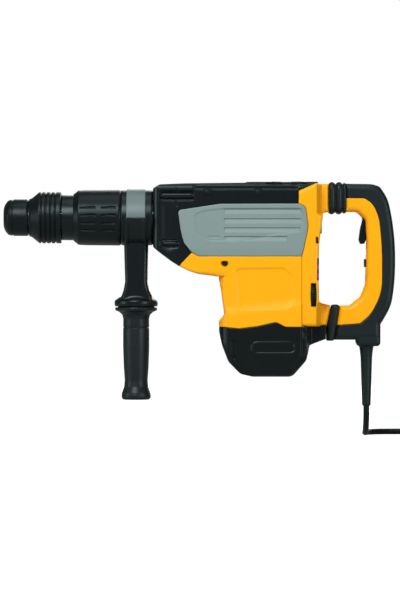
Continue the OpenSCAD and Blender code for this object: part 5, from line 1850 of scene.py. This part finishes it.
@dataclass
class RearCover:
    """The yellow rear cover, its indicator strip and the speed dial.

    Attributes:
        half: half width of the cover.
        lights: number of indicator lights.
        ridges: grip ridges round the dial.
    """

    half: float = 49.0
    lights: int = 3
    ridges: int = 30

    def cover(self) -> None:
        """The cover with its stubs for the two handle arms."""
        bottom = TOOL.span("rear_cover")[0][2]

        def back(z: float) -> float:
            """X of the lower stub's slanting back face at height z."""
            return AT.rear_x + 15 + 6.5 * (z + 131.5) / 31.5 - 0.2

        side = Outline([
            (300, 39, 0), (440.4, 39, 0.5), (467, 50.6, 3), (486.8, 50.3, 2), (486.8, 8.6, 1), (478, 7.2, 4),
            (475.6, -7.5, 6), (471.2, -42, 10), (470.6, -92, 10), (471.4, -127, 5), (back(-131), -131.6, 2),
            (back(bottom), bottom + 0.2, 0.5), (300, bottom + 0.2, 0),
        ])
        arm = AT.handle_half + 0.4
        nick = sunk(pill(465.6, -40, 469.6, -29.5, 1.6), 2.2, 1)
        line_depth = 0.35

        def width(x: Array, z: Array) -> Array:
            """Half width: full over the motor, then in to the arms."""
            upper = ease(x, 466.5, 477) * ease(z, 0, 8)
            lower = ease(x, 466.0, 476) * (1 - ease(z, -133, -126))
            fold = 1.6 * ease(x, 455, 468) + 0.7 * np.exp(-(((x - 456) / 5) ** 2)) * ease(z, -60, -20)
            groove = line_depth * np.exp(-(((z + 132 + (x - 445) * 0.25) / 1.4) ** 2))
            return self.half - (self.half - arm) * np.maximum(upper, lower) - fold - nick(x, z) - groove

        form = across(side, width, 5.5)
        start = Outline([
            (445.2, -200, 0), (520, -200, 0), (520, 51, 0), (467, 51, 0), (467, 50.6, 0), (440.9, 39.1, 0),
            (440.9, -57, 0), (445.2, -57, 0),
        ])
        form = form.keep(across(start, 60, 0.1), 0.3)
        seat = Form(lambda x, y, z: edged(Outline(PANEL)(x, z) - 0.45, 42.2 - np.abs(y), 0.2))
        form = form.cut(seat, 0.5)
        form = form.cut(box((477, -16.5, 20), (500, 16.5, 38), 1), 0.5)
        form = form.cut(box((AT.rear_x - 5.6, -13, -94), (AT.rear_x + 5, 13, -38), 1.2), 0.8)
        dial = TOOL.middle("speed_dial")[2]
        form = form.cut(
            box((AT.rear_x - 16.2, -60, dial - 17.4), (AT.rear_x - 8.3, -17, dial + 17.4), 0.8), 0.8,
        )
        pivot = TOOL.middle("pivot_pin")
        form = form.cut(
            box((AT.rear_x - 1, -10, pivot[2] - 10.4), (AT.rear_x + 30, 10, pivot[2] + 10.4), 0.3), 0.4,
        )
        form = form.cut(peg(pivot[0], pivot[2], -16.9, 16.9, 3.5, 0.1))
        mould(
            "rear_cover_shell", form, (440, -self.half, bottom), (487, self.half, 51), "yellow", "housing",
            "rear_cover", step=1.05,
        )

    def indicator(self) -> None:
        """The dark strip with its red lights."""
        low, high = TOOL.span("indicator_panel")
        form = box(tuple(low), (high[0] - 0.9, high[1], high[2]), 0.9)
        mould(
            "indicator_strip", form, tuple(low), tuple(high), "indicator_dark", "housing", "indicator_panel",
            step=0.8,
        )
        part = bar_part(1.0, 10, 3.8, 0.45)
        first = TOOL.metres(np.array([high[0] - 0.7, 0, high[2] - 26]))
        lamps = REPEATS.make(
            "indicator_lights", REPEATS.row, None, Part=part, Count=self.lights,
            First=first, Step=(0, 0, -0.012), Finish=PAINT("indicator_red"),
        )
        settle(lamps, "housing", "indicator_red")

    def dial(self) -> None:
        """The speed dial: a plain wheel, and a ring of ridges round it."""
        low, high = TOOL.span("speed_dial")
        mid, r = (low + high) / 2, (high[1] - low[1]) / 2
        t = high[0] - low[0]
        core = Form(lambda x, y, z: edged(
            np.hypot(y - mid[1], z - mid[2]) - (r - 0.9), np.abs(x - mid[0]) - t / 2, 0.6))
        mould(
            "speed_dial_wheel", core, tuple(low), tuple(high), "slot_dark", "speed_wheel", "speed_dial",
            step=0.8,
        )
        part = bar_part(1.7, 1.9, t - 0.8, 0.6)
        ring = REPEATS.make(
            "speed_dial_ridges", REPEATS.ring, None, Part=part, Count=self.ridges, Radius=(r - 0.9) / 1000,
            Centre=TOOL.metres(mid), Turn=(0, math.pi / 2, 0), Finish=PAINT("cap_black"),
        )
        settle(ring, "speed_wheel", "cap_black")

    def marks(self) -> None:
        """The dark inserts at the back edge, with their red marks, and dark bars that paint the shade in the latch
        slots.
        """
        low, high = TOOL.span("indicator_panel")
        side = self.half - 1.4
        # Dark bars in the bottoms of the latch nicks: painted shade
        base = seats([((468.4, s * (side - 2.1), -34.8), (0, s, 0)) for s in (-1, 1)])
        part = bar_part(3.4, 9.4, 1.2, 0.5, 3)
        REPEATS.seated("latch_slots", base, part, "slot_dark")
        strip = box((470.2, -14, low[2] + 0.6), (471.6, 14, high[2] - 4), 0.6)
        wall = box((473.0, -15, -24), (476.2, 15, 2.5), 0.9)
        form = strip.join(wall).cut(box((460, -13.1, -94), (480, 13.1, -38)))
        mould("back_wall_inserts", form, (470, -15, -94), (477, 15, 3), "slot_dark", "housing", step=0.6)
        edge = seats([((469.2, s * (side - 1.6), -77.5), (0, s, 0)) for s in (-1, 1)])
        part = bar_part(3.2, 33, 1.4, 0.5, 3)
        REPEATS.seated("edge_strips", edge, part, "slot_dark")
        edge = seats([((469.4, s * (side - 1.2), z), (0, s, 0)) for s in (-1, 1) for z in (-75, -87.5)])
        part = bar_part(2.0, 7.0, 1.4, 0.4, 2)
        REPEATS.seated("edge_lights", edge, part, "indicator_red")

    def build(self) -> None:
        """Makes the cover and what it carries."""
        self.cover()
        self.marks()
        self.indicator()
        self.dial()


# ------------------------------------------------------------------ handles


@dataclass
class SideHandle:
    """The clamp band, the yoke under it and the turned grip.

    Attributes:
        reach: half width of the yoke.
    """

    reach: float = 25.0

    def band(self) -> None:
        """The grey clamp band with its two straps."""
        low, high = TOOL.span("clamp_band")
        r, bore = high[2], TOOL.span("barrel_housing")[1][1] + 0.1
        lathed(
            "clamp_band_ring",
            soft_profile([
                (low[0], bore, 0), (low[0], r - 0.3, 0.3), (low[0] + 0.8, r, 0.4), (high[0] - 0.8, r, 0.4),
                (high[0], r - 0.3, 0.3), (high[0], bore, 0),
            ]),
            "band_grey", "side_handle", "clamp_band", sides=144,
        )
        part = bar_part(high[0] - low[0], 4, -r + 3 - low[2], 0.6, 3)
        first = TOOL.metres(np.array([(low[0] + high[0]) / 2, -11, (low[2] - r + 3) / 2]))
        straps = REPEATS.make(
            "clamp_band_straps", REPEATS.row, None, Part=part, Count=2, First=first,
            Step=(0, 0.022, 0), Finish=PAINT("band_grey"),
        )
        settle(straps, "side_handle", "band_grey")

    def yoke(self) -> None:
        """The yoke: a half ring with raised rims, the column and the guard."""
        c, g = AT.band_x, TOOL.span("clamp_yoke")[0][2]
        r0 = TOOL.span("clamp_band")[1][2] + 0.35
        ring = turned(Outline([
            (c - 16.2, r0, 0), (c + 15.6, r0, 0), (c + 15.6, r0 + 5.2, 1.4), (c + 11.4, r0 + 5.2, 1.2),
            (c + 9.6, r0 + 3.2, 1), (c - 9.8, r0 + 3.2, 1), (c - 11.6, r0 + 5.2, 1.2),
            (c - 16.2, r0 + 5.2, 1.4),
        ]))
        ring = ring.keep(box((c - 30, -60, -60), (c + 30, 60, -0.8), 0.8), 0.8)
        column = across(
            Outline([
                (c - 16.5, -34, 2), (c + 16.5, -34, 2), (c + 18.3, -43, 3), (c + 17.0, -96, 12),
                (c + 19.5, -108, 8),
                (c + 24, -117, 2.5), (c + 24, g + 8, 1), (c - 21.4, g + 8, 1), (c - 21.4, -117, 2.5),
                (c - 18.4, -108, 8), (c - 16.2, -96, 12), (c - 17.8, -43, 3),
            ]),
            self.reach, 6.5,
        )
        column = column.cut(Form(lambda x, y, z: -r0 + np.hypot(y, z)))
        guard_r = TOOL.span("clamp_yoke")[1][1] if TOOL.span("clamp_yoke")[1][1] < 34 else 32.5
        top = g + 13
        guard = Outline([
            (g + 2.2, 0, 0), (g + 2.2, 28.2, 0.5), (g, 28.6, 0.6), (g, guard_r - 1.0, 0.8), (g + 3.0, guard_r, 2),
            (g + 8.6, guard_r, 3.5),
            (top, guard_r - 6.5, 3), (top + 3, 19.5, 3), (top + 8, 16, 0), (top + 8, 0, 0),
        ])
        disc = Form(lambda x, y, z: guard(z, np.hypot(x - c, y)))
        form = ring.join(column, 1.4).join(disc, 3.0)
        form = form.cut(box((c - 14.6, -14, -r0 - 14.6), (c + 14.6, 14, 0), 0.4))
        form = form.cut(post(c, 0, g - 1, -30, 5, 0.1))
        wide = r0 + 5.4
        mould(
            "clamp_yoke_moulding", form, (c - 33, -wide, g), (c + 33, wide, 0), "case_black", "side_handle",
            "clamp_yoke", step=1.1,
        )

    def grip(self) -> None:
        """The turned rubber grip under its flange."""
        low, high = TOOL.span("side_grip")
        top, end, c = high[2], low[2], AT.band_x
        lathed(
            "side_grip_turned",
            soft_profile([
                (top + 1.6, 4.2, 0), (top + 1.6, 27.2, 0.5), (top, 27.7, 0.4), (top, 30.9, 0.8),
                (top - 1.6, 31.7, 1.0), (top - 4.6, 31.2, 1.6),
                (top - 6.6, 26, 3),
                (top - 11, 21, 5), (top - 17.5, 19.4, 8), (top - 29, 19.5, 1), (top - 29.6, 18.8, 0.3),
                (top - 30.6, 18.8, 0.3), (top - 31.2, 19.6, 1), (top - 58, 19.7, 30), (top - 88, 18.7, 30),
                (top - 110, 17.2, 20), (top - 119, 18.2, 10), (top - 128, 21.4, 6), (top - 132.5, 22.1, 3),
                (end + 3.2, 22.0, 2.5), (end + 0.2, 19.6, 2), (end, 12, 1), (end + 0.8, 9.5, 0.6),
                (end + 0.8, 0, 0),
                (top - 61.5, 0, 0), (top - 61.5, 4.2, 0),
            ]),
            "soft_black", "side_grip", "side_grip", sides=120, upright_at=(c, 0.0),
        )

    def build(self) -> None:
        """Makes all three pieces."""
        self.band()
        self.yoke()
        self.grip()


@dataclass
class RearHandle:
    """The D handle with its overmould, controls, bellows and boot.

    Attributes:
        edge: radius of the handle's long edges.
        ribs: round ribs of the bellows.
    """

    edge: float = 8.5
    ribs: int = 2

    def whole(self, extra: float) -> Form:
        """The D handle in one, its outside grown by extra."""
        e = extra
        outer = Outline([
            (510.2, 50.8 + e, 1), (552, 50.2 + e, FULL), (563 + e, 46.4 + e, 9), (574.8 + e, 29, FULL),
            (581 + e, 2, FULL), (585.4 + e, -33, FULL), (586.4 + e, -64, FULL), (585.2 + e, -98, FULL),
            (580.2 + e, -132, FULL), (568 + e, -153.5, FULL), (563.8, -160, 3), (564, -183, 5),
            (494.3, -183, 1), (502.7, -131.2, 1),
            (518, -131.2, 10),
            (534.5, -117.5, 12), (541.8, -99, 12), (543.6, -40, 120), (541.6, -4, 8), (529, 8.6, 9),
            (510.2, 8.6, 1),
        ], 6)
        pivot = TOOL.middle("pivot_pin")
        tongue = TOOL.span("handle_right")[0][0]
        form = across(outer, AT.handle_half - 0.1 + e, self.edge)
        form = form.join(box((tongue, -8.8, pivot[2] - 8.4), (512, 8.8, pivot[2] + 8.4), 2.5), 0.5)
        form = form.cut(box((533, -9.2, -47), (552, 9.2, 12), 0.4), 0.4)
        form = form.cut(box((538, -4.4, -77), (557, 4.4, -59), 0.3), 0.3)
        return form.cut(box((554, -14, -86), (576, 14, -6), 1))

    def rubber(self, shift: float) -> Form:
        """The room on the back and underside that the overmould takes."""
        region = Outline([
            (400, 29.6, 0), (540, 28.6, 10), (552, 20.6, FULL), (561.5, 1, FULL), (566.2, -44, FULL),
            (566.2, -112, FULL),
            (549.6, -145, FULL), (533.5, -158.4, 7), (497, -161.3, 0), (480, -161.5, 0), (480, -240, 0),
            (640, -240, 0),
            (640, 90, 0), (400, 90, 0),
        ], 6)
        return Form(lambda x, y, z: region(x, z) + shift + 0 * y)

    def shells(self) -> None:
        """The two yellow halves, parted on the middle plane."""
        whole = self.whole(0.0).cut(self.rubber(-0.15), 1.0)
        pivot = TOOL.middle("pivot_pin")
        whole = whole.cut(peg(pivot[0], pivot[2], -60, 60, 3.02, 0.05))
        tongue, back = TOOL.span("handle_right")[0][0], 566.5
        low, high = TOOL.span("handle_screws")
        for x, z in ((low[0] + 3, high[2] - 3), (high[0] - 3, low[2] + 3)):
            whole = whole.cut(peg(x, z, AT.handle_half - 2.3, 40, 3.3, 0.1), 0.2)
        for name, side in (("left", -1), ("right", 1)):
            half = AT.handle_half
            keep = Form(lambda x, y, z, s=side: 0.08 - s * y + 0 * x + 0 * z)
            form = whole.keep(keep, 0.8)
            low_y, high_y = (0, half) if side > 0 else (-half, 0)
            mould(
                f"handle_shell_{name}", form, (tongue, low_y, -163), (back, high_y, 31), "yellow",
                "rear_handle", f"handle_{name}", step=1.05,
            )

    def overmould(self) -> None:
        """The rubber on the back of the grip and under the lower arm."""
        form = self.whole(0.0).keep(self.rubber(0.1), 1.6)
        form = form.cut(box((480, -30, -160.9), (499, 30, -120), 0.2))
        half = AT.handle_half
        mould(
            "handle_rubber", form, (494, -half, -183.5), (587, half, 51.2), "soft_black", "rear_handle",
            "handle_overmould", step=1.05,
        )

    def controls(self) -> None:
        """The trigger and the lock slider."""
        low, high = TOOL.span("trigger")
        outline = Outline([
            (548, 5.2, 2), (535, 6.2, 2), (537.2, -3, 6), (533.6, -17, 24), (531.5, -33, 6),
            (534.2, -39.9, 3),
            (540.4, -39, 2), (548, -20, 2),
        ])
        mould(
            "trigger_moulding", across(outline, 8.5, 3), tuple(low), tuple(high), "cap_black", "trigger",
            "trigger", step=0.7,
        )
        low, high = TOOL.span("lock_slider")
        form = box((low[0], -3.4, low[2]), (low[0] + 4.2, 3.4, high[2]), 1.3)
        for k in range(3):
            z = low[2] + 3 + 3 * k
            form = form.cut(rod((low[0] - 0.2, -4, z), (low[0] - 0.2, 4, z), 0.75), 0.3)
        form = form.join(box((low[0] + 3.2, -2.9, low[2] + 2), (high[0], 2.9, high[2] - 2), 0.5))
        mould(
            "lock_slider_moulding", form, tuple(low), tuple(high), "cap_black", "lock_button", "lock_slider",
            step=0.55,
        )

    def bellows(self) -> None:
        """The bellows, swollen from a plain tube by a rule."""
        low, high = TOOL.span("bellows")
        ring = Outline([(-18.6, 9.4, 7), (18.6, 9.4, 7), (18.6, 49.0, 7), (-18.6, 49.0, 7)], 8).points
        inner = Outline([(-16, 12.5, 4), (16, 12.5, 4), (16, 46, 4), (-16, 46, 4)], 8).points
        front = low[0] - 1.2
        xs = np.arange(front, high[0] + 0.01, 0.6 * COARSE)
        xs = np.append(xs[xs < high[0] - 0.05], high[0])
        n = len(ring)
        points = [(x, y, z) for x in xs for y, z in ring]
        points = points + [(x, y, z) for x in (front, high[0]) for y, z in inner]
        faces = [[i * n + k, i * n + (k + 1) % n, (i + 1) * n + (k + 1) % n, (i + 1) * n + k]
                 for i in range(len(xs) - 1) for k in range(n)]
        a, b, last = len(xs) * n, (len(xs) + 1) * n, (len(xs) - 1) * n
        for k in range(n):
            m = (k + 1) % n
            faces += [[a + k, a + m, b + m, b + k], [k, m, a + m, a + k], [last + k, last + m, b + m, b + k]]
        tube = mesh_object("bellows_tube", np.array(points), faces, "soft_black")
        outward(tube)
        folded = REPEATS.make(
            "bellows_folded", REPEATS.ribs, tube, Start=TOOL.metres(np.array([front, 0, 0]))[0],
            End=TOOL.metres(np.array([507.4, 0, 0]))[0], Count=float(self.ribs), Height=0.0042, Finish=PAINT(
                "soft_black"
            ),
        )
        settle_between(
            folded, ("housing", "rear_handle"), low[0] + 0.4, high[0] - 1.2, "soft_black", "bellows",
        )

    def springs(self) -> None:
        """The two springs inside the bellows."""
        low, high = TOOL.span("damper_springs")
        r = (high[2] - low[2]) / 2
        points, faces = coiled(low[0], high[0], (high[1] - r, (low[2] + high[2]) / 2), r - 1.1, 1.1, 5)
        n = len(points)
        both = np.concatenate([points, points * np.array([1, -1, 1])])
        pair = mesh_object(
            "damper_spring_pair", both, faces + [[i + n for i in f] for f in faces], "bright_steel",
        )
        outward(pair)
        settle_between(pair, ("housing", "rear_handle"), low[0], high[0], "bright_steel", "damper_springs")

    def boot(self) -> None:
        """The slanting boot between the housing and the lower arm."""
        low, high = TOOL.span("arm_boot")
        lean = Outline([
            (491.0, high[2], 3), (503.8, high[2], 5), (495.4, low[2], 5), (483.4, low[2], 2),
            (483.6, -163, 3),
        ])
        fall = (503.8 - 495.4) / (high[2] - low[2])

        def crown(x: Array, z: Array) -> Array:
            """Half width, which falls to both edges as a round bead does."""
            off = (x - 489.4 - fall * (z - low[2])) / 7.0
            return high[1] - 4.5 * np.minimum(off * off, 1.3)

        form = across(lean, crown, 4.2)
        pivot = TOOL.middle("pivot_pin")
        form = form.cut(box((470, -9.2, pivot[2] - 8.7), (520, 9.2, pivot[2] + 8.7), 0.3), 0.3)
        mould(
            "arm_boot_moulding", form, (low[0], low[1], low[2]), (505, high[1], high[2]), "soft_black",
            "rear_handle", "arm_boot", step=0.9,
        )
        form = peg(pivot[0], pivot[2], -16.4, 16.4, 2.98, 0.5)
        mould(
            "pivot_pin_rod", form, (pivot[0] - 3, -16.4, pivot[2] - 3), (pivot[0] + 3, 16.4, pivot[2] + 3),
            "bright_steel", "rear_handle", "pivot_pin", step=0.55,
        )

    def build(self) -> None:
        """Makes the whole handle."""
        self.shells()
        self.overmould()
        self.controls()
        self.bellows()
        self.springs()
        self.boot()


# ------------------------------------------------------------------ inside


@dataclass
class Drivetrain:
    """The mechanism and fittings, kept as packed and given their finishes.

    Attributes:
        finishes: finish of each record slot.
    """

    finishes: dict[str, str] = field(
        default_factory=lambda: {
            "steel": "bright_steel", "dark_steel": "gear_steel", "band_steel": "band_grey",
            "screw_steel": "screw_dark",
            "magnesium": "magnesium", "black_plastic": "cap_black", "black_rubber": "soft_black",
            "yellow_plastic": "yellow", "grey_plastic": "panel_grey", "indicator": "indicator_dark",
            "copper": "copper", "windings": "windings", "laminations": "laminations", "brass": "brass",
            "carbon": "carbon", "board": "board", "cord_rubber": "cord_black", "cast": "cast",
        }
    )

    def build(self) -> None:
        """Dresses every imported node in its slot's finish."""
        for name, slot in self.slots().items():
            node = frame["nodes"][name]
            finish = PAINT(self.finishes[slot])
            for holder in node.material_slots:
                holder.material = finish

    @staticmethod
    def slots() -> dict[str, str]:
        """The record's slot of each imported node."""
        return {part["node"]: part["material_slot"] for part in frame["record"]["subparts"]}


def main() -> None:
    """Builds the studio and every sub-assembly."""
    logging.basicConfig(level=logging.INFO, format="%(message)s")
    studio = Studio()
    studio.camera()
    MainsCord().build()
    for part in (
        ToolHolder(), Barrel(), GearCase(), MotorColumn(), RearCover(), SideHandle(), RearHandle(),
        Drivetrain(),
    ):
        LOG.info("building %s", type(part).__name__)
        part.build()
    studio.lights()
    studio.floor()
    studio.look()


if __name__ == "__main__":
    main()
